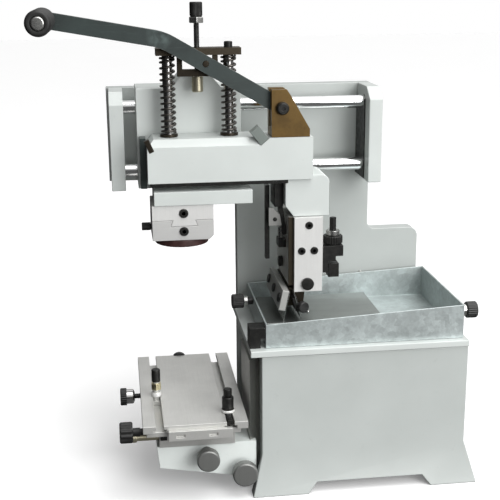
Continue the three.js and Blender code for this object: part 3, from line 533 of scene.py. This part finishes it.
def flute(bm, middle, axis, beyond, depth, count):
    """Presses grip flutes into the rim of a turned piece."""
    along = AXES[axis]
    side = AXES["z"] if axis != "z" else AXES["y"]
    other = along.cross(side)
    for vert in bm.verts:
        arm = vert.co - middle
        out = arm - along * arm.dot(along)
        if out.length > beyond * MM:
            angle = math.atan2(out.dot(other), out.dot(side))
            dip = depth * MM * (0.5 - 0.5 * math.cos(count * angle))
            vert.co -= out.normalized() * dip
    return bm


def slab(corner, size, edge=0.4, turn=0.0):
    """A block from its low corner and its sides in millimetres, rounded, and turned about its middle."""
    bm = bmesh.new()
    bmesh.ops.create_cube(bm, size=1.0)
    sides = Vector(size) * MM
    bmesh.ops.scale(bm, vec=sides, verts=bm.verts)
    break_edges(bm, edge * MM)
    bmesh.ops.rotate(bm, cent=(0, 0, 0), matrix=Matrix.Rotation(math.radians(turn), 3, "Y"), verts=bm.verts)
    bmesh.ops.translate(bm, vec=corner + sides / 2, verts=bm.verts)
    return bm


def prism(points, along, thickness, edge=0.4):
    """A plate from corner points, carried by a thickness in millimetres along an axis."""
    bm = bmesh.new()
    face = bm.faces.new([bm.verts.new(point) for point in points])
    made = bmesh.ops.extrude_face_region(bm, geom=[face])["geom"]
    bmesh.ops.translate(bm, vec=AXES[along] * thickness * MM, verts=only(made, bmesh.types.BMVert))
    bmesh.ops.recalc_face_normals(bm, faces=bm.faces)
    break_edges(bm, edge * MM)
    return bm


def drum(radius, height, low=0.0, high=0.0):
    """The profile of a short cylinder, with a chamfer at either end."""
    foot = [(radius - low, 0), (radius, low)] if low else [(radius, 0)]
    head = [(radius, height - high), (radius - high, height)] if high else [(radius, height)]
    return [(0, 0), *foot, *head, (0, height)]


def threaded(middle, along, radius, length, pitch=1.0):
    """A screw's shank with rolled thread crests."""
    count = round(length / pitch)
    profile = [(0, 0)]
    for k in range(count):
        profile += [(radius * 0.86, k * pitch), (radius, (k + 0.5) * pitch)]
    profile += [(radius * 0.86, count * pitch), (0, count * pitch)]
    return turned(middle, along, profile, 28, 0)


def socket_head(radius, height, socket=0.5, depth=0.55):
    """A cap screw's head, standing on the origin along +Z, with a hexagon socket."""
    bm = bmesh.new()
    chamfer = radius * 0.14
    rim = bmesh.ops.create_circle(bm, segments=40, radius=radius * MM)["verts"]
    loop = edges_at(rim)
    bmesh.ops.contextual_create(bm, geom=loop)
    for lift, size in ((height - chamfer, radius), (chamfer, radius - chamfer)):
        made = bmesh.ops.extrude_edge_only(bm, edges=loop)["geom"]
        verts = only(made, bmesh.types.BMVert)
        loop = only(made, bmesh.types.BMEdge)
        bmesh.ops.translate(bm, vec=(0, 0, lift * MM), verts=verts)
        here = max(v.co.xy.length for v in verts)
        bmesh.ops.scale(bm, vec=(size * MM / here, size * MM / here, 1), verts=verts)
    hexagon = bmesh.ops.create_circle(bm, segments=6, radius=radius * socket * MM)["verts"]
    bmesh.ops.translate(bm, vec=(0, 0, height * MM), verts=hexagon)
    inner = edges_at(hexagon)
    bmesh.ops.bridge_loops(bm, edges=loop + inner)
    made = bmesh.ops.extrude_edge_only(bm, edges=inner)["geom"]
    bmesh.ops.translate(bm, vec=(0, 0, -depth * height * MM), verts=only(made, bmesh.types.BMVert))
    bmesh.ops.contextual_create(bm, geom=only(made, bmesh.types.BMEdge))
    bmesh.ops.recalc_face_normals(bm, faces=bm.faces)
    return bm


def hex_nut(radius, height):
    """A hexagon nut standing on the origin along +Z, its edges rounded."""
    bm = bmesh.new()
    bmesh.ops.create_cone(bm, cap_ends=True, segments=6, radius1=radius * MM, radius2=radius * MM,
                          depth=height * MM)
    bmesh.ops.translate(bm, vec=(0, 0, height * MM / 2), verts=bm.verts)
    break_edges(bm, 0.7 * MM, 3)
    return bm


def finish_piece(name, bm, finish, body, slot, *nodes):
    """Makes the object, shades it, paints it, and fixes it to its body."""
    mesh = bpy.data.meshes.new(name)
    bm.to_mesh(mesh)
    bm.free()
    mesh.shade_smooth()
    mesh.set_sharp_from_angle(angle=SMOOTH)
    piece = bpy.data.objects.new(name, mesh)
    bpy.context.scene.collection.objects.link(piece)
    normals = piece.modifiers.new("even_normals", "WEIGHTED_NORMAL")
    normals.keep_sharp = True
    mesh.materials.append(FINISHES[finish])
    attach(piece, body)
    if nodes:
        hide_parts(*nodes)
    return piece


def body_of(node):
    return frame["nodes"][node]["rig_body"]


def slot_of(node):
    return next(part["material_slot"] for part in frame["record"]["subparts"] if part["node"] == node)


def crisp_piece(node, finish, width=None, segments=2):
    """A CAD piece with rounded edges, in place of its node."""
    bm = crisp_copy(node, shapes().plate_edge if width is None else width, segments)
    return finish_piece(f"fine_{node}", bm, finish, body_of(node), slot_of(node), node)


def turned_piece(node, finish, axis, edge=None, flutes=None):
    """A turned CAD piece in finer steps, in place of its node. Flutes are (beyond, depth, count)."""
    bm = turned_copy(node, axis, 144 if flutes else None, edge)
    if flutes:
        flute(bm, spot(node, 0.5, 0.5, 0.5), axis, *flutes)
    return finish_piece(f"fine_{node}", bm, finish, body_of(node), slot_of(node), node)


def cap_screw(name, place, along, head, body):
    """A black cap screw whose head is (radius, height) in millimetres."""
    return finish_piece(name, placed(socket_head(*head), place, along), "oxide", body, "black_oxide")


def small_part(name, bm, finish, near):
    """A piece with no CAD node of its own: it rides with the node it is fixed to."""
    return finish_piece(name, bm, finish, body_of(near), slot_of(near))


# ---- the casing and the column ----------------------------------------------------------------------------
class PRESS_OT_finishes(Operator):
    """Makes the paints and metals"""
    bl_idname = "press.finishes"
    bl_label = "Paints and metals"

    def execute(self, context):
        FINISHES.update(make_finishes())
        return {"FINISHED"}


class PRESS_OT_casing(Operator):
    """Rounds the casing and its top plate, and dresses the slideway of the knee"""
    bl_idname = "press.casing"
    bl_label = "Casing"

    def execute(self, context):
        crisp_piece("base_body", "casing", shapes().cast_edge, 3)
        crisp_piece("top_plate", "casting", shapes().cast_edge * 0.7, 3)
        crisp_piece("knee_slideway", "slide")
        return {"FINISHED"}


class PRESS_OT_column(Operator):
    """Makes the column, the rail brackets, the rails and their screws"""
    bl_idname = "press.column"
    bl_label = "Column and rails"

    def execute(self, context):
        crisp_piece("column_plate", "casing", shapes().plate_edge * 1.6, 3)
        for side in ("left", "right"):
            crisp_piece(f"{side}_rail_bracket", "casting", shapes().cast_edge, 3)
        for level in ("upper", "lower"):
            turned_piece(f"{level}_rail", "rail", "x", 0.8 * MM)
        self.column_studs()
        self.bracket_shade_sheet()
        self.back_screws()
        return {"FINISHED"}

    def column_studs(self):
        """Two small studs in the column's front face, at one height."""
        for number, inset in enumerate((77.5, 41.5), 1):
            place = spot("column_plate", 1, 0, 0, -inset, 0, 203)
            small_part(f"column_stud_{number}", turned(place, FORWARDS, [
                (0, -2), (2.6, -2), (2.6, 2.2), (2.0, 2.8), (0, 2.8)]), "slide", "column_plate")

    def bracket_shade_sheet(self):
        """A dark sheet on the inner face of the right rail bracket: painted shade, where that face lies in
        shadow.
        """
        sides = sides_of("right_rail_bracket")
        place = spot("right_rail_bracket", 0, 0, 0, -1.4, 20, 2)
        small_part("right_bracket_shade_sheet", slab(place, (1.3, sides.y - 21, sides.z - 18)), "oxide",
                   "right_rail_bracket")

    def back_screws(self):
        """Cap screws through the column's back: two into each rail bracket and four into the casing."""
        face = spot("column_plate", 0, 1, 0, 0, -BACK_SCREW_SINK).y
        for side in ("left", "right"):
            for level, height in (("upper", 0.72), ("lower", 0.28)):
                into = spot(f"{side}_rail_bracket", 0.5, 1, height)
                place = Vector((into.x, face, into.z))
                cap_screw(f"{side}_{level}_bracket_screw", place, BACKWARDS, M8_HEAD, "root")
        for side, edge, inset in (("left", 0, 22), ("right", 1, -22)):
            for level, height in (("upper", 0.82), ("lower", 0.36)):
                across = spot("top_plate", edge, 1, 0, inset).x
                place = Vector((across, face, spot("base_body", 0, 1, height).z))
                cap_screw(f"{side}_{level}_column_screw", place, BACKWARDS, M8_HEAD, "root")


class PRESS_OT_tray(Operator):
    """Makes the ink tray, its screws and clamp, and the etched plate in it"""
    bl_idname = "press.tray"
    bl_label = "Ink tray"

    def execute(self, context):
        crisp_piece("ink_tray", "zinc", shapes().sheet_edge)
        crisp_piece("cliche_block", "dark")
        crisp_piece("cliche_plate", "etched")
        # Painted shadow: a dark strip for the shadow in the gap between the plate's front edge and the
        # tray's front wall.
        strip = slab(spot("cliche_plate", 0.2, 0, 1, 0, 0.6, -0.3), (110, 3.2, 0.9), 0.3)
        small_part("plate_front_shadow_strip", strip, "oxide", "cliche_block")
        crisp_piece("tray_clamp_block", "oxide")
        turned_piece("left_tray_screw", "plastic", "x", flutes=(8.4, 0.7, 24))
        turned_piece("right_tray_screw", "plastic", "x", flutes=(9.4, 0.7, 24))
        for side, out, profile in (("right", 6.6, drum(7.2, 5.2, 0.6)),
                                   ("left", 15.2, drum(6.2, 5.0, 0, 0.6))):
            collar = turned(spot(f"{side}_tray_screw", 0, 0.5, 0.5, out), RIGHTWARDS, profile)
            small_part(f"{side}_tray_collar", collar, "bright", f"{side}_tray_screw")
        return {"FINISHED"}


# ---- the carriage -----------------------------------------------------------------------------------------
class PRESS_OT_carriage(Operator):
    """Makes the slide block, its bushes, the arm, the neck and the lever bracket"""
    bl_idname = "press.carriage"
    bl_label = "Carriage"

    def execute(self, context):
        crisp_piece("slide_block", "casting", shapes().cast_edge * 0.8, 3)
        crisp_piece("head_arm", "casting", shapes().cast_edge * 0.7, 3)
        crisp_piece("blade_neck", "casting", shapes().cast_edge * 0.7, 3)
        crisp_piece("stop_lug", "lug")
        # Painted shade: a dark slanted slab standing in for the shaded chamfer at the arm's left top corner.
        lug = slab(spot("head_arm", 0, 0, 1, -0.6, -0.6, -14), (6, 9, 15), 0.5, -24)
        small_part("arm_corner_shade_slab", lug, "dark", "stop_lug")
        self.arm_shade_sheets()
        crisp_piece("lever_bracket", "ochre", shapes().plate_edge * 1.4)
        turned_piece("pivot_bolt", "dark", "y", 0.5 * MM)
        cap_screw("pivot_cap", spot("pivot_bolt", 0.5, 0, 0.5, 0, 0.4), FORWARDS, (6.3, 3.0), "carriage")
        for bush in ("upper_rail_bush", "lower_rail_bush"):
            turned_piece(bush, "bronze", "x")
        return {"FINISHED"}

    def arm_shade_sheets(self):
        """Dark pieces of painted shade: a strip for the shadow under the arm's front edge, a sheet for the
        shaded left end of the arm, and a strip for the shadow line beside the neck.
        """
        for name, place, sides, finish in (
                # painted shadow under the arm's front edge
                ("arm_front_shadow_strip", (2, 2.5, -4.6), (162, 5, 4.5), "oxide"),
                # painted shade: a dark sheet for the arm's shaded left face
                ("arm_end_shade_sheet", (-7.5, 33, -12), (7.2, 20, 60), "lever")):
            small_part(name, slab(spot("head_arm", 0, 0, 0, *place), sides), finish, "head_arm")
        # Painted shadow: a dark strip for the shadow line at the neck's right edge.
        strip = slab(spot("blade_neck", 1, 0, 0, 0.1, 4, 2), (0.9, 4, 37))
        small_part("neck_side_shadow_strip", strip, "dark", "blade_neck")


class PRESS_OT_ram(Operator):
    """Makes the ram: guide rods, bushes, crossbar, yoke, pad plate and the depth screw"""
    bl_idname = "press.ram"
    bl_label = "Ram"

    def execute(self, context):
        for side in ("left", "right"):
            turned_piece(f"{side}_guide_rod", "rod", "z", 0.8 * MM)
            turned_piece(f"{side}_rod_bush", "dark", "z")
        crisp_piece("crossbar", "brown")
        crisp_piece("yoke", "dark")
        crisp_piece("pad_plate", "casting", shapes().plate_edge * 1.2)
        turned_piece("adjust_screw", "oxide", "z", flutes=(6.9, 0.45, 30))
        turned_piece("stop_sleeve", "sleeve", "z")
        nut = placed(hex_nut(9.0, 6.6), spot("adjust_screw", 0.5, 0.5, 1, 0, 0, -23.4), UPWARDS)
        small_part("depth_lock_nut", nut, "bright", "adjust_screw")
        thread = threaded(spot("crossbar", 0, 0.652, 1, 48), UPWARDS, 3.25, 27.0)
        small_part("depth_thread", thread, "oxide", "adjust_screw")
        for side in ("left", "right"):
            place = spot(f"{side}_guide_rod", 0.5, 0.5, 1, 0, 0, 8.6)
            cap_screw(f"{side}_crossbar_screw", place, UPWARDS, (4.9, 6.4), "ram")
        return {"FINISHED"}


def coil_spring(node):
    """A compression spring: one closed turn at each end and open turns between."""
    low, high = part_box(node)
    wire = shapes().wire
    radius = (high.x - low.x) / 2 - wire
    height = high.z - low.z - 2 * wire
    closed = 2 * wire * 1.02
    turns = shapes().spring_turns
    pitch = (height - 2 * closed) / turns
    middle = Vector(((low.x + high.x) / 2, (low.y + high.y) / 2, low.z + wire))
    bm = bmesh.new()
    ring = bmesh.ops.create_circle(bm, segments=10, radius=wire, cap_ends=False)["verts"]
    bmesh.ops.rotate(bm, verts=ring, cent=(0, 0, 0), matrix=Matrix.Rotation(math.pi / 2, 3, "X"))
    bmesh.ops.translate(bm, vec=middle + Vector((radius, 0, 0)), verts=ring)
    geom = ring + edges_at(ring)
    bmesh.ops.contextual_create(bm, geom=edges_at(ring))
    for count, rise in ((1, closed), (turns, pitch), (1, closed)):
        made = bmesh.ops.spin(bm, geom=geom, cent=middle, axis=(0, 0, 1), dvec=(0, 0, rise / COIL_STEPS),
                              angle=2 * math.pi * count, steps=COIL_STEPS * count)
        geom = [g for g in made["geom_last"] if not isinstance(g, bmesh.types.BMFace)]
    bmesh.ops.contextual_create(bm, geom=only(geom, bmesh.types.BMEdge))
    bmesh.ops.recalc_face_normals(bm, faces=bm.faces)
    return bm


class PRESS_OT_springs(Operator):
    """Winds the two springs, which on the real press shorten as the ram goes down"""
    bl_idname = "press.springs"
    bl_label = "Springs"

    def execute(self, context):
        for side in ("left", "right"):
            node = f"{side}_spring"
            coil = coil_spring(node)
            piece = finish_piece(f"fine_{node}", coil, "spring", "carriage", slot_of(node), node)
            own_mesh(piece)
        return {"FINISHED"}


class PRESS_OT_pad_holder(Operator):
    """Makes the dovetail pad holder, its screws and the pad disc"""
    bl_idname = "press.pad_holder"
    bl_label = "Pad holder"

    def execute(self, context):
        crisp_piece("pad_block", "alloy")
        crisp_piece("pad_shoe", "shoe")
        turned_piece("shoe_screw", "oxide", "x", flutes=(4.5, 0.4, 18))
        turned_piece("pad_disc", "pad", "z", 0.8 * MM)
        for node, height in (("pad_block", 0.62), ("pad_shoe", 0.45)):
            place = spot(node, 0.5, 0, height, 1.0, 3.0)
            cap_screw(f"{node}_screw", place, FORWARDS, (5.4, 5.0), body_of(node))
        return {"FINISHED"}


# ---- the lever --------------------------------------------------------------------------------------------
class PRESS_OT_lever(Operator):
    """Makes the lever, its roller and the grip"""
    bl_idname = "press.lever"
    bl_label = "Lever"

    def execute(self, context):
        crisp_piece("lever_bar", "lever", shapes().plate_edge * 1.6, 3)
        turned_piece("link_roller", "dark", "y")
        turned_piece("grip_core", "bright", "y", 0.6 * MM)
        turned_piece("grip_sleeve", "rubber", "y", 1.2 * MM)
        return {"FINISHED"}


# ---- the blade holder -------------------------------------------------------------------------------------
class PRESS_OT_blade_holder(Operator):
    """Makes the blade holder, the doctor blade, the spatula and the lift screw"""
    bl_idname = "press.blade_holder"
    bl_label = "Blade holder"

    def execute(self, context):
        crisp_piece("holder_front_plate", "alloy")
        crisp_piece("holder_block", "ground")
        crisp_piece("lift_bracket", "oxide")
        turned_piece("lift_screw", "oxide", "z", flutes=(11.4, 0.8, 24))
        turned_piece("rocker_pin", "oxide", "y", 0.5 * MM)
        crisp_piece("rocker_block", "dark")
        crisp_piece("blade_clamp", "clamp")
        crisp_piece("doctor_blade", "bright", BLADE_EDGE)
        crisp_piece("ink_spatula", "bright", BLADE_EDGE)
        self.front_screws()
        self.holder_side()
        self.hanger()
        self.catch()
        self.lift_collars()
        self.spatula_clamp()
        return {"FINISHED"}

    def front_screws(self):
        """Three sunk cap screws in the front plate, and three along the clamp of the blade."""
        for number, (across, height) in enumerate(((0.52, 0.895), (0.26, 0.555), (0.71, 0.555)), 1):
            place = spot("holder_front_plate", across, 0, height, 0, 0.3)
            cap_screw(f"holder_screw_{number}", place, FORWARDS, (4.7, 1.6), "carriage")
        lean = Vector((-math.cos(BLADE_LEAN), 0, math.sin(BLADE_LEAN)))
        for number, along in enumerate((0.1, 0.5, 0.9), 1):
            place = spot("blade_clamp", 0, along, 0, 5.3, 0, 14)
            cap_screw(f"clamp_screw_{number}", place, lean, (5.6, 5.0), "rocker")

    def holder_side(self):
        """The shim behind the front plate, and the screw in the holder's left face."""
        shim = slab(spot("holder_block", 0, 0, 0, -0.4, -1.2), (6.2, 1.4, sides_of("holder_block").z))
        small_part("brown_shim", shim, "brown", "holder_block")
        cap_screw("side_screw", spot("holder_block", 0, 0.55, 0.21), LEFTWARDS, (6.6, 5.0), "carriage")

    def hanger(self):
        """The hanger bar, its block and its link, which hang from the arm left of the neck."""
        neck = spot("blade_neck", 0, 0, 0)
        under_arm = Vector((neck.x, neck.y, spot("head_arm", 0, 0, 0).z))
        for name, place, sides, turn in (
                ("hanger_bar", (-19.5, 30, -105), (5, 9, 92), 0),
                ("hanger_block", (-11, 12, -36), (10.6, 34, 35.8), 0),
                ("hanger_link", (-3.5, 16, -72), (5, 12, 44), -9)):
            small_part(name, slab(under_arm + mm(*place), sides, turn=turn), "oxide", "head_arm")

    def catch(self):
        """The catch plate and the adjuster on the holder's left."""
        corner = spot("holder_block", 0, 0, 1, -21.5, 16, -14)
        outline = [corner + mm(x, 0, z) for x, z in ((0, 0), (19.5, 0), (19.5, 8), (4.5, 22), (0, 22))]
        small_part("catch_plate", prism(outline, "y", 4.0), "hanger", "holder_block")
        small_part("catch_screw", turned(corner + mm(7.5, 0.2, 8), FORWARDS, [
            (0, -1), (2.6, -1), (2.6, 0.6), (1.6, 0.9), (0, 0.9)]), "oxide", "holder_block")
        small_part("adjuster_pin", turned(spot("holder_block", 0, 0.30, 1, -5.4, 0, -32), UPWARDS, [
            (0, 0), (2.8, 0), (3.0, 1), (3.0, 14), (2.8, 15), (0, 15)]), "bright", "holder_block")
        block = slab(spot("holder_block", 0, 0.22, 1, -9.0, 0, -42), (9.0, 20, 9.6))
        small_part("adjuster_block", block, "oxide", "holder_block")

    def lift_collars(self):
        """Bright collars on the lift screw, and the black stop under its shelf."""
        screw = spot("lift_screw", 0.5, 0.5, 1)
        shelf = spot("lift_bracket", 0.5, 0.5, 1)
        for name, height, radius, tall in (("lift_collar_low", shelf.z + 1.2 * MM, 9.4, 1.2),
                                           ("lift_collar_high", screw.z - 21.6 * MM, 8.3, 6.0)):
            collar = turned((screw.x, screw.y, height), UPWARDS, drum(radius, tall, 0.4, 0.4))
            small_part(name, collar, "bright", "lift_screw")
        small_part("lift_stop", slab(spot("lift_bracket", 0, 0, 0, 7, 1.5, -6.5), (13, 18, 17)), "oxide",
                   "lift_bracket")

    def spatula_clamp(self):
        """The black clamp and wing screw that hold the spatula under the front plate."""
        foot = spot("ink_spatula", 1, 0, 0)
        small_part("spatula_bar", slab(foot + mm(-8.5, 1.0, 9.0), (5.5, 98, 17), 0.5, -14), "oxide",
                   "rocker_block")
        small_part("wing_screw", turned(foot + mm(-1.5, 8.0, 14.5), (0.35, -0.94, 0.0), [
            (0, 0), (3.0, 0), (3.0, 6), (6.2, 6.5), (6.8, 7.5), (6.8, 13), (6.0, 13.8), (0, 13.8)], 48),
            "plastic", "rocker_block")
        tip = turned(foot + mm(4.5, 1.0, 9.0), (0.8, -0.5, -0.2), drum(2.2, 6, 0, 0.6))
        small_part("wing_screw_tip", tip, "bright", "rocker_block")


# ---- the knee and the table -------------------------------------------------------------------------------
class PRESS_OT_knee(Operator):
    """Makes the knee, its two knobs and the cross slide"""
    bl_idname = "press.knee"
    bl_label = "Knee"

    def execute(self, context):
        # The knee's paint is the brightened copy of the casting enamel, painted light against the table's
        # shade.
        crisp_piece("knee", "knee", shapes().cast_edge)
        crisp_piece("cross_slide", "ground")
        for knob in ("knee_lock_knob", "cross_feed_knob"):
            turned_piece(knob, "knob_steel", "y", 1.0 * MM)
        return {"FINISHED"}


class PRESS_OT_table(Operator):
    """Makes the slotted table, its knobs and the clamp studs"""
    bl_idname = "press.table"
    bl_label = "Table"

    def execute(self, context):
        crisp_piece("table", "ground")
        crisp_piece("slotted_bar", "ground")
        turned_piece("table_feed_knob", "plastic", "x", flutes=(11.6, 1.2, 12))
        turned_piece("table_lock_knob", "plastic", "x", flutes=(10.4, 0.8, 24))
        small_part("lock_knob_hub", turned(spot("table_lock_knob", 0, 0.5, 0.5, 7.6), RIGHTWARDS, [
            (0, 0), (9.0, 0), (9.2, 0.4), (9.2, 8.2), (8.4, 9.2), (5.4, 10.6), (0, 10.6)]), "rod",
            "table_lock_knob")
        crisp_piece("left_stud", "ground", STUD_EDGE)
        crisp_piece("right_stud", "dark", STUD_EDGE)
        self.stud_fittings()
        self.stop_rod()
        return {"FINISHED"}

    def stud_fittings(self):
        """Nuts, collars and black heads on the two clamp studs."""
        for side, part, down, radius, height, finish in (
                ("left", "cap", 15.6, 5.3, 16.0, "oxide"), ("left", "collar", 34.6, 6.0, 5.6, "alloy"),
                ("right", "cap", 8.4, 5.0, 8.8, "oxide"), ("right", "body", 24.5, 6.9, 15.0, "oxide"),
                ("right", "flange", 28.6, 8.0, 3.6, "alloy")):
            place = spot(f"{side}_stud", 0.5, 0.5, 1, 0, 0, -down)
            fitting = turned(place, UPWARDS, drum(radius, height, 0.5, 0.8))
            small_part(f"{side}_stud_{part}", fitting, finish, f"{side}_stud")
        nut = placed(hex_nut(6.6, 8.0), spot("left_stud", 0.5, 0.5, 1, 0, 0, -25.5), UPWARDS)
        small_part("left_stud_nut", nut, "brass", "left_stud")
        foot = slab(spot("right_stud", 0.5, 0.5, 1, -2.8, -28, -33.2), (5.6, 26, 5.4))
        small_part("right_stud_foot", foot, "oxide", "right_stud")

    def stop_rod(self):
        """The rod under the table's front edge, the black block, and the head at the back."""
        small_part("stop_rod", turned(spot("cross_slide", 0, 0, 0.55, 0, 7), LEFTWARDS, [
            (0, -3), (4.4, -3), (4.4, 26), (5.6, 26.3), (6.0, 26.8), (6.0, 33.6), (5.4, 34.2), (0, 34.2)]),
            "sleeve", "cross_slide")
        small_part("rod_block", slab(spot("cross_slide", 0, 0, 0, 1.5, -3.2, 10.5), (8, 4, 9)), "oxide",
                   "cross_slide")
        head = turned(spot("table", 0.46, 1, 0.6, 0, -3), BACKWARDS, drum(9.6, 7.0, 0.6, 0.6))
        small_part("back_feed_head", head, "plastic", "table")


# ---- the stage --------------------------------------------------------------------------------------------
def studio_floor():
    """A plain pale sheet of paper under the press."""
    bm = bmesh.new()
    bmesh.ops.create_grid(bm, x_segments=2, y_segments=2, size=FLOOR_REACH)
    mesh = bpy.data.meshes.new("studio_floor")
    bm.to_mesh(mesh)
    bm.free()
    floor = bpy.data.objects.new("studio_floor", mesh)
    bpy.context.scene.collection.objects.link(floor)
    paper = Finish("studio_paper", 0.0, 0.7)
    paper.colour(paper.blend(paper.noise(3.0), (0.90, 0.90, 0.90, 1), (0.93, 0.93, 0.93, 1)))
    paper.shader.inputs["Emission Color"].default_value = (1.0, 1.0, 1.0, 1)
    paper.shader.inputs["Emission Strength"].default_value = PAPER_GLOW
    mesh.materials.append(paper.material)
    floor.visible_diffuse = False
    floor.visible_glossy = False


def soft_light(name, place, target, size, power, mirrored):
    """A rectangular soft lamp, aimed at a point."""
    light = bpy.data.lights.new(name, "AREA")
    light.shape = "RECTANGLE"
    light.size, light.size_y = size
    light.energy = power
    lamp = bpy.data.objects.new(name, light)
    aim = (Vector(target) - Vector(place)).to_track_quat("-Z", "Y")
    lamp.location = place
    lamp.rotation_euler = aim.to_euler()
    lamp.visible_glossy = mirrored
    bpy.context.scene.collection.objects.link(lamp)


def floor_light():
    """An even wash from high on the right, for a pale floor with a soft shadow."""
    light = bpy.data.lights.new("wash_light", "SUN")
    light.energy = 0.9
    light.angle = math.radians(50)
    lamp = bpy.data.objects.new("wash_light", light)
    lamp.rotation_euler = (math.radians(28), math.radians(24), 0)
    bpy.context.scene.collection.objects.link(lamp)


def studio_camera():
    """The camera, turned by yaw and pitch, then rolled about its line of sight."""
    settings = bpy.context.scene.press_camera
    yaw, pitch, roll = settings.yaw, settings.pitch, settings.roll
    ahead = Vector((math.sin(yaw) * math.cos(pitch), math.cos(yaw) * math.cos(pitch), -math.sin(pitch)))
    right = Vector((math.cos(yaw), -math.sin(yaw), 0))
    up = right.cross(ahead)
    rolled_right = right * math.cos(roll) + up * math.sin(roll)
    rolled_up = up * math.cos(roll) - right * math.sin(roll)
    turn = Matrix((rolled_right, rolled_up, -ahead)).transposed().to_4x4()
    data = bpy.data.cameras.new("studio_camera")
    data.lens = settings.lens
    data.sensor_width = 36.0
    data.clip_start = 0.05
    camera = bpy.data.objects.new("studio_camera", data)
    camera.matrix_world = Matrix.Translation(spot("base_body", 0, 0, 0) + settings.place) @ turn
    bpy.context.scene.collection.objects.link(camera)
    bpy.context.scene.camera = camera


def studio_air():
    """Soft surroundings: a bright ceiling, dimmer walls, and the left side in shade."""
    world = bpy.data.worlds.new("studio_air")
    world.use_nodes = True
    tree = world.node_tree
    air = tree.nodes["Background"]

    def span(value, low, high, to_low, to_high):
        made = tree.nodes.new("ShaderNodeMapRange")
        made.interpolation_type = "SMOOTHSTEP"
        for key, number in (("From Min", low), ("From Max", high), ("To Min", to_low), ("To Max", to_high)):
            made.inputs[key].default_value = number
        tree.links.new(value, made.inputs["Value"])
        return made.outputs["Result"]

    way = tree.nodes.new("ShaderNodeSeparateXYZ")
    tree.links.new(tree.nodes.new("ShaderNodeTexCoord").outputs["Generated"], way.inputs["Vector"])
    height = span(way.outputs["Z"], 0.12, 0.55, 0.16, 1.3)
    side = span(way.outputs["X"], -0.6, 0.45, 0.10, 1.0)
    product = tree.nodes.new("ShaderNodeMath")
    product.operation = "MULTIPLY"
    tree.links.new(height, product.inputs[0])
    tree.links.new(side, product.inputs[1])
    seen = tree.nodes.new("ShaderNodeMix")
    tree.links.new(tree.nodes.new("ShaderNodeLightPath").outputs["Is Camera Ray"], seen.inputs[0])
    tree.links.new(product.outputs["Value"], seen.inputs[2])
    seen.inputs[3].default_value = 1.0
    tree.links.new(seen.outputs[0], air.inputs["Strength"])
    air.inputs["Color"].default_value = (1.0, 1.0, 1.0, 1)
    bpy.context.scene.world = world


class PRESS_OT_stage(Operator):
    """Lays the floor, hangs the soft lights and sets the camera"""
    bl_idname = "press.stage"
    bl_label = "Stage"

    def execute(self, context):
        bpy.context.scene.view_settings.view_transform = "Standard"
        studio_air()
        studio_floor()
        for lamp in LAMPS:
            soft_light(*lamp)
        floor_light()
        studio_camera()
        return {"FINISHED"}


# ---- panel and registration -------------------------------------------------------------------------------
PIECE_OPERATORS = (
    PRESS_OT_finishes, PRESS_OT_casing, PRESS_OT_column, PRESS_OT_tray, PRESS_OT_carriage, PRESS_OT_ram,
    PRESS_OT_springs, PRESS_OT_pad_holder, PRESS_OT_lever, PRESS_OT_blade_holder, PRESS_OT_knee,
    PRESS_OT_table, PRESS_OT_stage,
)


class PRESS_PT_sidebar(Panel):
    """The press's steps and settings"""
    bl_label = "Pad printing press"
    bl_space_type = "VIEW_3D"
    bl_region_type = "UI"
    bl_category = "Press"

    def draw(self, context):
        for operator in PIECE_OPERATORS:
            self.layout.operator(operator.bl_idname)
        for group in (context.scene.press_finishes, context.scene.press_shapes, context.scene.press_camera):
            box = self.layout.box()
            for name in group.__annotations__:
                box.prop(group, name)


CLASSES = (PressFinishes, PressShapes, PressCamera, *PIECE_OPERATORS, PRESS_PT_sidebar)


def register():
    for cls in CLASSES:
        bpy.utils.register_class(cls)
    bpy.types.Scene.press_finishes = PointerProperty(type=PressFinishes)
    bpy.types.Scene.press_shapes = PointerProperty(type=PressShapes)
    bpy.types.Scene.press_camera = PointerProperty(type=PressCamera)


def unregister():
    for name in ("press_camera", "press_shapes", "press_finishes"):
        delattr(bpy.types.Scene, name)
    for cls in reversed(CLASSES):
        bpy.utils.unregister_class(cls)


def main():
    register()
    for operator in PIECE_OPERATORS:
        group, name = operator.bl_idname.split(".")
        getattr(getattr(bpy.ops, group), name)()


if __name__ == "__main__":
    main()
